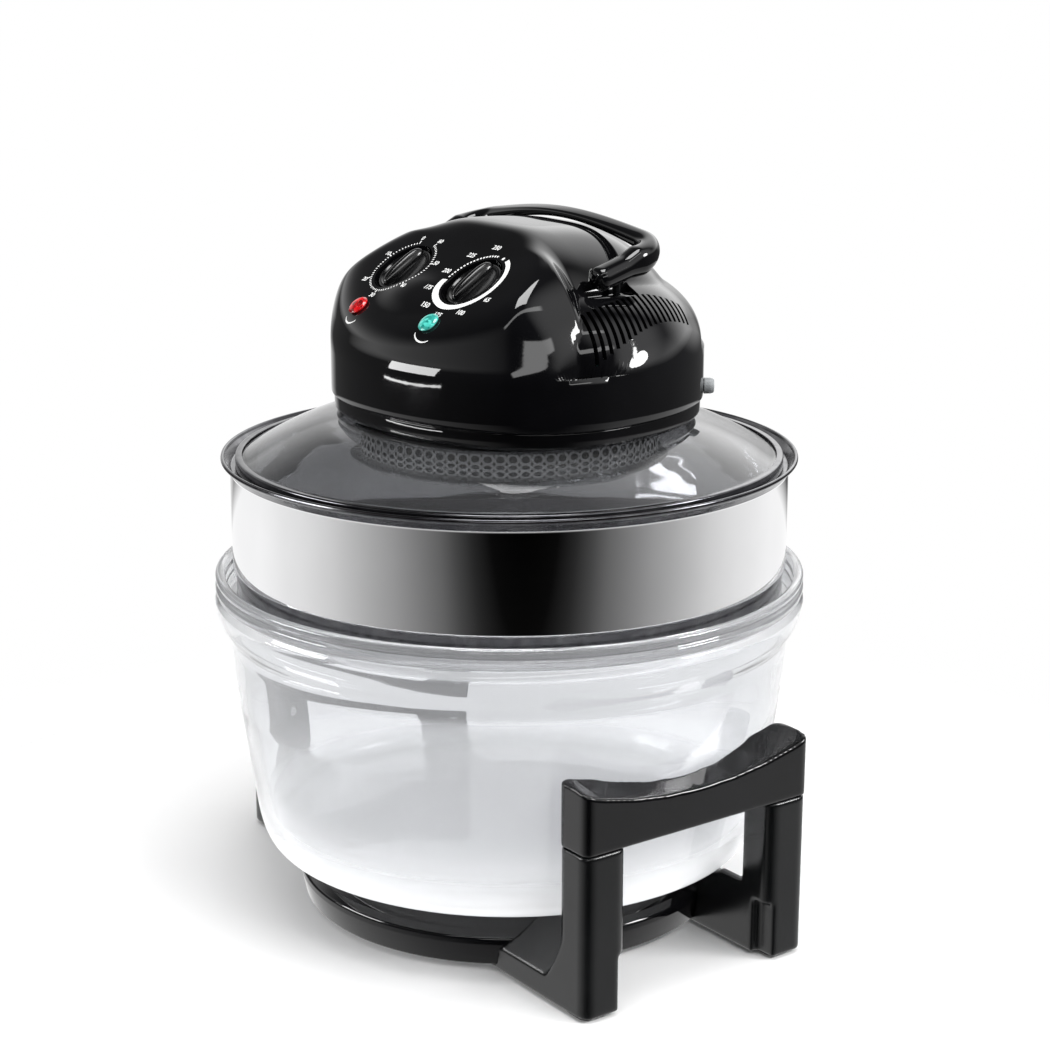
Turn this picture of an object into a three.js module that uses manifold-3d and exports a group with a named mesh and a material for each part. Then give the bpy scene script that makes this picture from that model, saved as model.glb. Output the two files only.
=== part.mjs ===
// A tabletop halogen convection oven: a glass bowl in a stand with two bridge handles,
// a steel extender ring, and a glass lid that carries the motor head.
// Millimetres, +Z up. The origin is on the table, under the axis of the bowl.
// The dials face -Y and the stand's handles are on +X and -X.
import * as THREE from 'three';
import { mergeVertices } from 'three/addons/utils/BufferGeometryUtils.js';
import Module from 'manifold-3d';

const wasm = await Module();
wasm.setup();

// Sides of round pieces
const bigSides = 40;
const midSides = 24;
const smallSides = 8;
const lampSides = 16;

// Clearances and the overrun of cuts
const seatGap = 0.3;
const runGap = 0.6;
const overrun = 2;
const weld = 1e-4;

// Stand
const ring = {
  insideBowl: 37, taper: 3, bottom: 4, wallHeight: 15.5, shoulder: 4.2,
  seatInset: 15.5, boreInset: 27.5, seatHeight: 39, wall: 3.2, lip: 1.6,
  bossInset: 12, bossRadius: 6.5, bossHeight: 25,
};
const leg = {
  beyondBowl: 12.5, depth: 25, inner: 50, width: 28, bottom: 1.5, jointHeight: 94,
  armOuterHeight: 15.5, armInnerHeight: 42, ridge: 4, corner: 6,
  footNotch: 5, notchHeight: 34, filletReach: 14, tongue: 2.2,
};
const pad = { length: 17, width: 18, height: 3, corner: 4 };
const grip = { height: 36, dip: 12, lean: 4, corner: 5, pegWidth: 12, pegLength: 16 };
const screw = { headRadius: 3.6, headHeight: 1.8, shankRadius: 1.8, length: 12 };

// Glass bowl
const bowl = {
  height: 162.7, collarHeight: 37, rimRadius: 170, wallInset: 7.5, collarBulge: 1,
  glass: 4.8, floor: 6, ledgeDepth: 12, ledgeInset: 15, rimWall: 5.2, neck: 1.4,
};
// Outer wall from the foot to the collar, as shares of the wall's top radius and height
const bowlWallShares = [
  [0.835, 0], [0.867, 0.01], [0.889, 0.04], [0.906, 0.088], [0.919, 0.156],
  [0.931, 0.26], [0.951, 0.45], [0.976, 0.68], [1, 1],
];
// Collar from the wall's top to the rim, as shares of its own bulge and height
const collarShares = [[0.25, 0.1], [0.68, 0.27], [1, 0.57]];

// Steel extender ring
const extender = {
  skirtGap: 6.5, skirtHeight: 15, step: 1.8, bandHeight: 57, rimInset: 4.5,
  flare: 4.6, bead: 1.4, sheet: 1, shelfInset: 17.5,
};

// Lid
const lid = {
  rimGap: 2.1, band: 0.9, lip: 3.8, glass: 4, rise: 22.4,
  holeRadius: 78, flatRadius: 97,
};
// Top of the glass from the rim to the flat, as shares of the slope's width and rise
const lidShares = [[0, 0], [0.24, 0.33], [0.5, 0.63], [0.75, 0.86], [1, 1]];
const seal = { inner: 78.5, outer: 86, height: 1.5 };
const clamp = { inner: 66, outer: 90, sheet: 1.5 };

// Head
const head = {
  halfWidth: 110, front: 94, back: 113, widest: 12, bulge: 2.05,
  skirt: 1.7, baseInset: 1.6, baseHeight: 9.5, wall: 2.6, wallTop: 28.6,
};
// The crown between the shoulders is cut in front by the slope that carries the dials
const crown = {
  rise: 70.5, halfWidth: 102, reach: 104, centreY: 0, panelRise: 44.7, blend: 1.5,
};
const crownPowers = {
  across: 3.5, acrossUp: 0.57, front: 2, frontUp: 0.6, rear: 4.3, rearUp: 0.9,
  frontEdge: 24, frontEdgeUp: 0.5, rearEdge: 4.05, rearEdgeUp: 0.8,
};
const shoulder = { rise: 52, front: 92, back: 96, centreY: 8 };
const shoulderPowers = { out: 2.4, up: 0.4 };
const neck = { outer: 76.5, inner: 70 };
const floorPlate = { sheet: 2.6, opening: 40 };
const coverBoss = { radius: 5, x: 70, frontY: -58, backY: 66 };

// Dials and lamps on the front slope
const dial = {
  halfPitch: 33.8, frontY: -49.4, tilt: THREE.MathUtils.degToRad(34), wellRadius: 18.5,
  wellDepth: 7, wellWall: 2.2, knobRadius: 16.8, discHeight: 5, wingHeight: 10,
  wingWidth: 8, shaftRadius: 3, shaftLength: 15, boxSide: 42, boxDepth: 22,
};
const lamp = {
  halfPitch: 35, frontY: -78.4, flangeRadius: 6.3, flange: 1.2, dome: 1.6,
  stemRadius: 4.8, stem: 8, neonRadius: 3, neonLength: 12,
};

// Side vents: thin upright slots across each shoulder
const vent = { count: 18, firstY: -19, pitch: 4.25, width: 2.2, innerX: 84 };
const ventTopShares = [0.6, 0.71, 0.66];
const ventBottomShares = [0.11, 0.43, 0.36];

// Carry handle and its pockets
const handle = {
  armX: 83.5, width: 14.5, thickness: 13, pivotY: 4, pivotHeight: 77.9, lean: 0.295,
  behind: 8, reach: 38, cornerRadius: 16, bow: 7.1, flat: 2, round: 3,
  haunch: 3.5, haunchFrom: 12.5,
};
// The arms thicken towards the corners; the bar thins and narrows over the crown
const barShares = { thickness: 0.27, width: 0.62, power: 0.5 };
const armStations = 4;
const pocket = { side: 1.5, frontY: -8, backY: 25, depth: 12, wall: 2.2 };
const pin = { radius: 2.2, inboard: 9 };
const plunger = { radius: 2, inboard: 4, y: 14, length: 18, boss: 4 };
const microswitch = { x: 10, y: 20, z: 14 };

// Heater and fans
const guard = {
  wallRadius: 84, lipRadius: 91, depth: 17.6, sheet: 1.1, lipHeight: 3,
  holeRadius: 3.2, slotWidth: 5, slotHeight: 8,
};
const guardHoleRings = [[6, 0.3], [10, 0.6]];
const guardSlots = 12;
const shield = { sheet: 1, lift: 0.3, radius: 69.3 };
const tube = { ringRadius: 60, radius: 4.5, drop: 10, gapAngle: THREE.MathUtils.degToRad(32) };
const holder = { size: 11, height: 14 };
const shaft = { radius: 2.5, top: 51, foot: 17 };
const hotFan = { radius: 38, hub: 7, height: 9, drop: 14.5, blade: 1.4, blades: 6 };
const coldFan = { radius: 36, hub: 8, height: 9, lift: 2.5, blade: 1.6, blades: 7 };
const stator = {
  width: 60, front: 24, back: 48, stack: 18, rotorRadius: 13, air: 0.6, window: 13, leg: 12,
};
const coil = { width: 30, wall: 9, overhang: 4.5 };
const bracket = { halfSpan: 52, bar: 2.2, width: 16, clearBelow: 14, boss: 6 };
const terminal = { x: 30, y: 14, z: 12, backY: 84 };
const gland = { angle: 0.965, height: 14, radius: 4.6, tip: 3.6, stem: 3.4, length: 9 };

// Heights above the table, stacked from the stand upwards
const bowlZ = ring.seatHeight + seatGap;
const bowlTop = bowlZ + bowl.height;
const collarZ = bowlTop - bowl.collarHeight;
const ledgeZ = bowlTop - bowl.ledgeDepth;
const extenderZ = ledgeZ + seatGap;
const bandZ = extenderZ + extender.skirtHeight;
const shelfZ = bandZ + extender.bandHeight;
const lidZ = shelfZ + extender.sheet + seatGap;
const glassZ = lidZ + lid.band + seatGap;
const lidTop = glassZ + lid.glass + lid.rise;
const lidUnder = lidTop - lid.glass;
const sealTop = lidTop + seatGap + seal.height;
const floorZ = sealTop + seatGap;
const floorTop = floorZ + floorPlate.sheet;
const baseZ = floorZ - head.skirt;
const coverZ = baseZ + head.baseHeight + seatGap;
const wallTopZ = coverZ + head.wallTop;
const clampTop = lidUnder - seatGap;
const clampZ = clampTop - clamp.sheet;
const shieldZ = clampTop + shield.lift;
const pivotZ = coverZ + handle.pivotHeight - seatGap;

// Radii, from the rim of the bowl inwards
const bowlWallRadius = bowl.rimRadius - bowl.wallInset;
const collarRadius = bowl.rimRadius + bowl.collarBulge;
const ledgeInner = bowl.rimRadius - bowl.ledgeInset;
const legFront = bowlWallRadius + leg.beyondBowl;
const ringTopRadius = bowlWallRadius - ring.insideBowl;
const ringBottomRadius = ringTopRadius - ring.taper;
const ringSeatRadius = ringTopRadius - ring.seatInset;
const ringBoreRadius = ringTopRadius - ring.boreInset;
const bossCentre = ringTopRadius - ring.bossInset;
const extenderRimRadius = bowl.rimRadius - extender.rimInset;
const shelfRadius = bowl.rimRadius - extender.shelfInset;
const skirtRadius = bowl.rimRadius - bowl.rimWall - extender.skirtGap;
const bandRadius = skirtRadius + extender.step;
const lidRadius = bandRadius - extender.sheet - lid.rimGap;

// Materials
function finish(color, roughness, metalness = 0, opacity = 1) {
  const options = { color, roughness, metalness };
  if (opacity < 1) Object.assign(options, { transparent: true, opacity });
  return () => new THREE.MeshStandardMaterial(options);
}
const glossBlack = finish(0x0b0b0c, 0.12);
const satinBlack = finish(0x1d1d1f, 0.45);
const clearGlass = finish(0xe6ecec, 0.03, 0, 0.3);
const smokedGlass = finish(0x55575a, 0.04, 0, 0.55);
const mirrorSteel = finish(0xd8d8d8, 0.08, 1);
const brushedSteel = finish(0xa9a9aa, 0.35, 1);
const aluminium = finish(0xb8bbbe, 0.4, 1);
const rubber = finish(0x2a2a2b, 0.85);
const silicone = finish(0x6a6a6a, 0.7);
const ceramic = finish(0xd9d2c2, 0.6);
const quartz = finish(0xf3efe6, 0.05, 0, 0.6);
const copper = finish(0xa4562c, 0.35, 1);
const lamination = finish(0x6d7073, 0.5, 1);
const greyPlastic = finish(0x8b8e90, 0.5);
const redLens = finish(0xb3151b, 0.1);
const greenLens = finish(0x19a08f, 0.1);
const neonGlass = finish(0xe8a06a, 0.1);

// Solids
function solid(geometry) {
  const plain = geometry.index ? geometry : geometry.clone();
  plain.deleteAttribute('normal');
  plain.deleteAttribute('uv');
  const merged = mergeVertices(plain, weld);
  const mesh = new wasm.Mesh({
    numProp: 3,
    vertProperties: new Float32Array(merged.attributes.position.array),
    triVerts: new Uint32Array(merged.index.array),
  });
  return new wasm.Manifold(mesh);
}

function geometryOf(body) {
  const mesh = body.getMesh();
  const geometry = new THREE.BufferGeometry();
  const points = new Float32Array(mesh.vertProperties);
  geometry.setAttribute('position', new THREE.BufferAttribute(points, mesh.numProp));
  geometry.setIndex(new THREE.BufferAttribute(new Uint32Array(mesh.triVerts), 1));
  return geometry;
}

function moved(geometry, x, y, z) {
  geometry.translate(x, y, z);
  return geometry;
}

// A body turned about Z. The profile's points are [radius, height].
function turned(profile, sides) {
  let area = 0;
  profile.forEach(([r, z], i) => {
    const [nextR, nextZ] = profile[(i + 1) % profile.length];
    area += r * nextZ - nextR * z;
  });
  const points = profile.map(([r, z]) => new THREE.Vector2(r, z));
  if (area < 0) points.reverse();
  const onAxis = points.every((p) => p.x > 0) === false;
  if (!onAxis) points.push(points[0].clone());
  while (onAxis && (points[0].x > 0 || points[points.length - 1].x > 0)) {
    points.push(points.shift());
  }
  const geometry = new THREE.LatheGeometry(points, sides);
  geometry.rotateX(Math.PI / 2);
  return solid(geometry);
}

function cylinder(radius, bottom, top, sides = smallSides) {
  return turned([[0, bottom], [radius, bottom], [radius, top], [0, top]], sides);
}

function washer(inner, outer, bottom, top, sides) {
  return turned([[inner, bottom], [outer, bottom], [outer, top], [inner, top]], sides);
}

function box(low, high) {
  const size = high.map((value, i) => value - low[i]);
  const centre = high.map((value, i) => (value + low[i]) / 2);
  return solid(moved(new THREE.BoxGeometry(...size), ...centre));
}

// A plan outline with rounded corners, between two heights
function roundedShape(width, depth, radius) {
  const x = width / 2;
  const y = depth / 2;
  const shape = new THREE.Shape();
  shape.absarc(x - radius, y - radius, radius, 0, Math.PI / 2);
  shape.absarc(radius - x, y - radius, radius, Math.PI / 2, Math.PI);
  shape.absarc(radius - x, radius - y, radius, Math.PI, Math.PI * 1.5);
  shape.absarc(x - radius, radius - y, radius, Math.PI * 1.5, Math.PI * 2);
  shape.closePath();
  return shape;
}

function prism(shape, bottom, top, curveSegments = 2) {
  const geometry = new THREE.ExtrudeGeometry(shape, {
    depth: top - bottom, bevelEnabled: false, curveSegments,
  });
  return solid(moved(geometry, 0, 0, bottom));
}

// A closed skin through rings of points, with a fan over each end
function loft(rings) {
  const count = rings[0].length;
  const positions = [];
  const indices = [];
  rings.forEach((points) => points.forEach((p) => positions.push(p.x, p.y, p.z)));
  for (let k = 0; k + 1 < rings.length; k += 1) {
    for (let i = 0; i < count; i += 1) {
      const a = k * count + i;
      const b = k * count + ((i + 1) % count);
      indices.push(a, b, b + count, a, b + count, a + count);
    }
  }
  [0, rings.length - 1].forEach((k) => {
    const centre = new THREE.Vector3();
    rings[k].forEach((p) => centre.addScaledVector(p, 1 / count));
    const hub = positions.length / 3;
    positions.push(centre.x, centre.y, centre.z);
    for (let i = 0; i < count; i += 1) {
      const a = k * count + i;
      const b = k * count + ((i + 1) % count);
      if (k === 0) indices.push(hub, b, a);
      else indices.push(hub, a, b);
    }
  });
  const geometry = new THREE.BufferGeometry();
  geometry.setAttribute('position', new THREE.Float32BufferAttribute(positions, 3));
  geometry.setIndex(indices);
  return solid(geometry);
}

// Turns a body so that its own +Z points along a direction, and moves it to a place
function aimed(body, direction, place) {
  const turn = new THREE.Quaternion();
  turn.setFromUnitVectors(new THREE.Vector3(0, 0, 1), direction.clone().normalize());
  const matrix = new THREE.Matrix4().compose(place, turn, new THREE.Vector3(1, 1, 1));
  const geometry = geometryOf(body);
  geometry.applyMatrix4(matrix);
  return solid(geometry);
}

function mirrored(body) {
  const geometry = geometryOf(body);
  geometry.scale(-1, 1, 1);
  const index = geometry.index.array;
  for (let i = 0; i < index.length; i += 3) {
    [index[i], index[i + 1]] = [index[i + 1], index[i]];
  }
  return solid(geometry);
}

function shifted(body, x, y, z) {
  return solid(moved(geometryOf(body), x, y, z));
}

const oven = new THREE.Group();
function place(name, body, material) {
  const mesh = new THREE.Mesh(geometryOf(body), material());
  mesh.name = name;
  oven.add(mesh);
  return mesh;
}

// A screw along +Z with its head's top at zero and its tip below
function screwBody(length = screw.length) {
  const { headRadius, headHeight, shankRadius } = screw;
  return turned([
    [0, 0], [headRadius, 0], [shankRadius, -headHeight], [shankRadius, -length],
    [0, -length],
  ], smallSides);
}
function screwHole(length = screw.length) {
  const { headRadius, headHeight, shankRadius } = screw;
  const head = headRadius + seatGap;
  const bore = shankRadius + seatGap;
  return turned([
    [0, overrun], [head, overrun], [head, -seatGap], [bore, -headHeight - seatGap],
    [bore, -length - seatGap], [0, -length - seatGap],
  ], smallSides);
}
const down = new THREE.Vector3(0, 0, -1);

// Stand ring: a thin shell with a cradle that slopes up to the bowl's seat
const ringShoulderZ = ring.bottom + ring.wallHeight;
const ringInnerZ = ring.seatHeight - ring.wall;
const ringProfile = [
  [ringBottomRadius, ring.bottom],
  [ringTopRadius, ringShoulderZ],
  [ringTopRadius - ring.lip / 2, ringShoulderZ + ring.shoulder * 0.7],
  [ringTopRadius - ring.lip * 1.5, ringShoulderZ + ring.shoulder],
  [ringSeatRadius, ring.seatHeight],
  [ringBoreRadius, ring.seatHeight],
  [ringBoreRadius, ringInnerZ],
  [ringSeatRadius - ring.lip, ringInnerZ],
  [ringTopRadius - ring.wall * 1.6, ringShoulderZ],
  [ringBottomRadius - ring.wall, ring.bottom],
];
const legMiddle = leg.inner + leg.width / 2;
const bossX = Math.sqrt(bossCentre ** 2 - legMiddle ** 2);
const legSigns = [[1, -1], [1, 1], [-1, -1], [-1, 1]];
const legNames = ['right_front', 'right_rear', 'left_front', 'left_rear'];
const legScrewLength = ring.bossHeight * 0.6;

function legScrewPlace([sx, sy]) {
  return new THREE.Vector3(sx * bossX, sy * legMiddle, leg.bottom + seatGap);
}
let ringBody = turned(ringProfile, bigSides);
legSigns.forEach(([sx, sy]) => {
  const boss = cylinder(ring.bossRadius, ring.bottom, ring.bottom + ring.bossHeight);
  ringBody = ringBody.add(shifted(boss, sx * bossX, sy * legMiddle, 0));
});
legSigns.forEach((signs) => {
  const hole = aimed(screwHole(legScrewLength), down, legScrewPlace(signs));
  ringBody = ringBody.subtract(hole);
});
place('stand_ring', ringBody, satinBlack);

// Bowl outlines, which the legs also clear
const wallHeight = collarZ - bowlZ;
const wallPoints = bowlWallShares.map(([r, z]) => (
  [r * bowlWallRadius, bowlZ + z * wallHeight]));
const bulge = collarRadius - bowlWallRadius;
const collarPoints = collarShares.map(([r, z]) => (
  [bowlWallRadius + r * bulge, collarZ + z * bowl.collarHeight]));
const rimPoints = [
  [bowl.rimRadius, bowlTop - bowl.neck * 4],
  [bowl.rimRadius, bowlTop - bowl.neck],
  [bowl.rimRadius - bowl.neck, bowlTop],
];
const bowlOuter = [...wallPoints, ...collarPoints, ...rimPoints];
const rimInner = bowl.rimRadius - bowl.rimWall;
const innerWall = wallPoints.filter(([r]) => r < bowlWallRadius * 0.985).map(([r, z]) => {
  const share = (z - bowlZ) / wallHeight;
  return [r - bowl.glass, z + bowl.floor * (1 - share)];
}).reverse();
const bowlInner = [
  [rimInner, bowlTop],
  [rimInner, ledgeZ],
  [ledgeInner, ledgeZ],
  [ledgeInner, ledgeZ - bowl.ledgeDepth * 1.4],
];
const bowlProfile = [[0, bowlZ], ...bowlOuter, ...bowlInner, ...innerWall];
bowlProfile.push([0, bowlZ + bowl.floor]);
place('glass_bowl', turned(bowlProfile, bigSides), clearGlass);

// The space that the legs and grips keep clear for the bowl
const clearBowl = turned([
  [0, bowlZ - runGap],
  ...wallPoints.map(([r, z]) => [r + bowl.neck, z - runGap]),
  [0, bowlTop],
], bigSides);

// Legs: a wedge-shaped arm out from the ring and a post at its end
const postX = legFront - leg.depth / 2;
const padZ = pad.height + seatGap;
function legBody() {
  const outer = leg.inner + leg.width;
  const wedge = new THREE.Shape([
    new THREE.Vector2(leg.inner, leg.bottom),
    new THREE.Vector2(outer, leg.bottom),
    new THREE.Vector2(outer, leg.armOuterHeight),
    new THREE.Vector2(leg.inner + leg.ridge, leg.armInnerHeight),
    new THREE.Vector2(leg.inner, leg.armInnerHeight),
  ]);
  const tongueX = bossX - ring.bossRadius;
  const run = new THREE.ExtrudeGeometry(wedge, {
    depth: postX - tongueX, bevelEnabled: false,
  });
  run.rotateX(Math.PI / 2);
  run.rotateZ(Math.PI / 2);
  run.translate(tongueX, 0, 0);
  let body = solid(run);
  const fillet = new THREE.Shape([
    new THREE.Vector2(postX, leg.armOuterHeight - leg.filletReach / 2),
    new THREE.Vector2(postX, leg.armInnerHeight + leg.filletReach),
    new THREE.Vector2(postX - leg.depth / 2 - leg.filletReach * 0.2,
      leg.armOuterHeight + leg.filletReach * 0.8),
    new THREE.Vector2(postX - leg.depth / 2 - leg.filletReach,
      leg.armOuterHeight - leg.filletReach / 2),
  ]);
  const web = new THREE.ExtrudeGeometry(fillet, { depth: leg.width, bevelEnabled: false });
  web.rotateX(Math.PI / 2);
  web.translate(0, outer, 0);
  body = body.add(solid(web));
  const post = prism(roundedShape(leg.depth, leg.width, leg.corner), leg.bottom,
    leg.jointHeight);
  body = body.add(shifted(post, postX, legMiddle, 0));
  const notch = box(
    [postX, leg.inner - overrun, leg.bottom - overrun],
    [legFront + overrun, leg.inner + leg.footNotch, leg.notchHeight],
  );
  body = body.subtract(notch);
  const clearRing = turned([
    [0, leg.bottom + leg.tongue], [ringBottomRadius + seatGap, leg.bottom + leg.tongue],
    [ringTopRadius + seatGap, ringShoulderZ],
    [ringTopRadius + seatGap, leg.armInnerHeight + overrun],
    [0, leg.armInnerHeight + overrun],
  ], bigSides);
  body = body.subtract(clearRing);
  body = body.subtract(clearBowl);
  const padHole = prism(
    roundedShape(pad.length + seatGap * 2, pad.width + seatGap * 2, pad.corner),
    leg.bottom - overrun, padZ);
  body = body.subtract(shifted(padHole, postX, legMiddle + leg.footNotch / 2, 0));
  const socket = grip.pegWidth + seatGap * 2;
  const socketHole = box(
    [-socket / 2, -socket / 2, leg.jointHeight - grip.pegLength - seatGap],
    [socket / 2, socket / 2, leg.jointHeight + overrun],
  );
  return body.subtract(shifted(socketHole, postX, legMiddle, 0));
}
const screwIn = new THREE.Vector3(-1, 0, 0);
const gripScrewZ = leg.jointHeight - grip.pegLength / 2;
const gripScrewPlace = new THREE.Vector3(legFront - leg.depth, legMiddle, gripScrewZ);
const rearLeg = legBody()
  .subtract(aimed(screwHole(legScrewLength), down, legScrewPlace([1, 1])))
  .subtract(aimed(screwHole(), screwIn, gripScrewPlace));
const padBody = prism(roundedShape(pad.length, pad.width, pad.corner), 0, pad.height);

function turnedOver(body, sx, sy) {
  let result = body;
  if (sx * sy < 0) result = mirrored(result);
  if (sy < 0) {
    const geometry = geometryOf(result);
    geometry.rotateZ(Math.PI);
    result = solid(geometry);
  }
  return result;
}
legSigns.forEach(([sx, sy], i) => {
  const padAt = shifted(padBody, postX, legMiddle + leg.footNotch / 2, 0);
  const legScrew = aimed(screwBody(legScrewLength), down, legScrewPlace([1, 1]));
  const gripScrew = aimed(screwBody(), screwIn, gripScrewPlace);
  place(`leg_${legNames[i]}`, turnedOver(rearLeg, sx, sy), satinBlack);
  place(`pad_${legNames[i]}`, turnedOver(padAt, sx, sy), rubber);
  place(`leg_screw_${legNames[i]}`, turnedOver(legScrew, sx, sy), brushedSteel);
  place(`grip_screw_${legNames[i]}`, turnedOver(gripScrew, sx, sy), brushedSteel);
});

// Grips: a glossy bridge from post to post, dished along its top
const gripZ = leg.jointHeight + seatGap;
const gripTop = gripZ + grip.height;
function gripBody() {
  const half = leg.inner + leg.width;
  let body = prism(roundedShape(leg.depth, half * 2, grip.corner), gripZ, gripTop, 4);
  body = shifted(body, postX, 0, 0);
  const dishRadius = (half * half + grip.dip * grip.dip) / (2 * grip.dip);
  const dish = cylinder(dishRadius, -leg.depth, leg.depth, 72);
  const upward = new THREE.Vector3(grip.lean, 0, leg.depth).normalize();
  const centre = new THREE.Vector3(postX, 0, gripTop)
    .addScaledVector(upward, dishRadius - grip.dip);
  const outward = new THREE.Vector3(leg.depth, 0, -grip.lean);
  body = body.subtract(aimed(dish, outward, centre));
  body = body.subtract(clearBowl);
  const peg = grip.pegWidth / 2;
  [-1, 1].forEach((sy) => {
    const pegBody = box(
      [postX - peg, sy * legMiddle - peg, leg.jointHeight - grip.pegLength],
      [postX + peg, sy * legMiddle + peg, gripZ + overrun],
    );
    body = body.add(pegBody);
    const at = gripScrewPlace.clone();
    at.y *= sy;
    body = body.subtract(aimed(screwHole(), screwIn, at));
  });
  return body;
}
const gripRight = gripBody();
place('grip_right', gripRight, glossBlack);
place('grip_left', mirrored(gripRight), glossBlack);

// Extender ring: one spun sheet with a skirt, a band, a shelf and a flared rim
const flareZ = shelfZ + extender.flare;
const rimTopZ = flareZ + extender.bead * 2;
place('extender_ring', turned([
  [skirtRadius, extenderZ],
  [skirtRadius, bandZ - extender.step / 2],
  [bandRadius, bandZ + extender.step / 2],
  [bandRadius, shelfZ],
  [extenderRimRadius - extender.bead, flareZ],
  [extenderRimRadius, flareZ + extender.bead * 0.7],
  [extenderRimRadius - extender.bead * 0.4, rimTopZ],
  [extenderRimRadius - extender.bead * 1.4, rimTopZ],
  [extenderRimRadius - extender.bead - extender.sheet, flareZ + extender.sheet],
  [bandRadius - extender.sheet * 0.4, shelfZ + extender.sheet],
  [shelfRadius, shelfZ + extender.sheet],
  [shelfRadius, shelfZ],
  [bandRadius - extender.sheet, shelfZ],
  [bandRadius - extender.sheet, bandZ + extender.step],
  [skirtRadius - extender.sheet, bandZ],
  [skirtRadius - extender.sheet, extenderZ],
], bigSides), mirrorSteel);

// Lid: glass, its steel rim band, the seal and the clamp ring
const rimInnerRadius = lidRadius - lid.lip;
const channelRadius = lidRadius - lid.band;
const glassRadius = channelRadius - seatGap;
const glassTop = glassZ + lid.glass;
const rimLipZ = glassTop + seatGap;
place('lid_rim', turned([
  [rimInnerRadius, lidZ],
  [lidRadius, lidZ],
  [lidRadius, rimLipZ + lid.band],
  [rimInnerRadius, rimLipZ + lid.band],
  [rimInnerRadius, rimLipZ],
  [channelRadius, rimLipZ],
  [channelRadius, lidZ + lid.band],
  [rimInnerRadius, lidZ + lid.band],
], bigSides), mirrorSteel);

const slopeStart = rimInnerRadius - seatGap * 2;
const slopeWidth = slopeStart - lid.flatRadius;
const slopeCurve = new THREE.SplineCurve(lidShares.map(([r, z]) => (
  new THREE.Vector2(slopeStart - r * slopeWidth, glassTop + z * lid.rise))));
const slopePoints = slopeCurve.getPoints(4).map((p) => [p.x, p.y]);
place('glass_lid', turned([
  [glassRadius, glassZ],
  [glassRadius, glassTop],
  ...slopePoints,
  [lid.holeRadius, lidTop],
  [lid.holeRadius, lidUnder],
  ...slopePoints.map(([r, z]) => [r, z - lid.glass]).reverse(),
], bigSides), smokedGlass);
place('lid_seal', washer(seal.inner, seal.outer, lidTop + seatGap, sealTop, midSides), silicone);

const guardScrewRadius = (neck.outer + neck.inner) / 2;
const guardScrewLength = clampTop - clampZ + guard.sheet + screw.length / 2;
const guardTop = clampZ - seatGap;
const guardScrewAngles = [0.25, 0.583, 0.917].map((share) => share * Math.PI * 2);
const guardScrewPlaces = guardScrewAngles.map((angle) => new THREE.Vector3(
  guardScrewRadius * Math.cos(angle), guardScrewRadius * Math.sin(angle),
  guardTop - guard.sheet));
function drilled(body, places, length) {
  return places.reduce((rest, at) => (
    rest.subtract(aimed(screwHole(length), down, at))), body);
}
const clampBody = washer(clamp.inner, clamp.outer, clampZ, clampTop, midSides);
place('clamp_ring', drilled(clampBody, guardScrewPlaces, guardScrewLength), brushedSteel);

// Plan of the head: an egg whose widest line lies in front of the axis
const headCentreY = -head.widest;
function planPoint(angle, inset) {
  const power = 2 / head.bulge;
  const c = Math.cos(angle);
  const s = Math.sin(angle);
  const reach = (s < 0 ? head.front - head.widest : head.back + head.widest) - inset;
  const width = head.halfWidth - inset;
  return new THREE.Vector2(
    width * Math.sign(c) * Math.abs(c) ** power,
    headCentreY + reach * Math.sign(s) * Math.abs(s) ** power,
  );
}
function share(x, y, width, centreY, front, back) {
  const reach = y < centreY ? front : back;
  const across = Math.abs(x / width) ** head.bulge;
  const along = Math.abs((y - centreY) / reach) ** head.bulge;
  return Math.min(1, (across + along) ** (1 / head.bulge));
}
function eased(value, out, up) {
  return Math.max(0, 1 - Math.abs(value) ** out) ** up;
}
function lower(a, b, blend) {
  return -blend * Math.log(Math.exp(-a / blend) + Math.exp(-b / blend));
}
// Height of the cover at a point of its plan: the higher of the crown and the shoulders
function coverHeight(x, y, inset = 0) {
  const width = head.halfWidth - inset;
  const planOut = share(x, y, width, headCentreY, head.front - head.widest - inset,
    head.back + head.widest - inset);
  const shoulderOut = share(x, y, width, shoulder.centreY, shoulder.front - inset,
    shoulder.back - inset);
  const power = crownPowers;
  const along = (y - crown.centreY) / (crown.reach - inset);
  const round = eased(x / (crown.halfWidth - inset), power.across, power.acrossUp)
    * (along < 0 ? eased(along, power.front, power.frontUp)
      : eased(along, power.rear, power.rearUp));
  const panel = crown.panelRise + (y - dial.frontY) * Math.tan(dial.tilt)
    - inset / Math.cos(dial.tilt);
  const body = Math.max(0, lower((crown.rise - inset) * round, panel, crown.blend));
  const edge = y < headCentreY ? eased(planOut, power.frontEdge, power.frontEdgeUp)
    : eased(planOut, power.rearEdge, power.rearEdgeUp);
  const side = (shoulder.rise - inset)
    * eased(shoulderOut, shoulderPowers.out, shoulderPowers.up);
  return wallTopZ + Math.max(body * edge, side);
}
const planSides = 36;
function planRing(inset, height, scale = 1) {
  return Array.from({ length: planSides }, (_, i) => {
    const p = planPoint((i / planSides) * Math.PI * 2, inset);
    const x = p.x * scale;
    const y = headCentreY + (p.y - headCentreY) * scale;
    return new THREE.Vector3(x, y, height === null ? coverHeight(x, y, inset) : height);
  });
}
const domeSteps = 8;
function domeBody(inset, bottom) {
  const rings = [planRing(inset, bottom), planRing(inset, wallTopZ)];
  for (let k = 1; k <= domeSteps; k += 1) {
    const out = Math.cos((k / (domeSteps + 0.6)) * Math.PI / 2);
    rings.push(planRing(inset, null, out));
  }
  return loft(rings);
}
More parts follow.
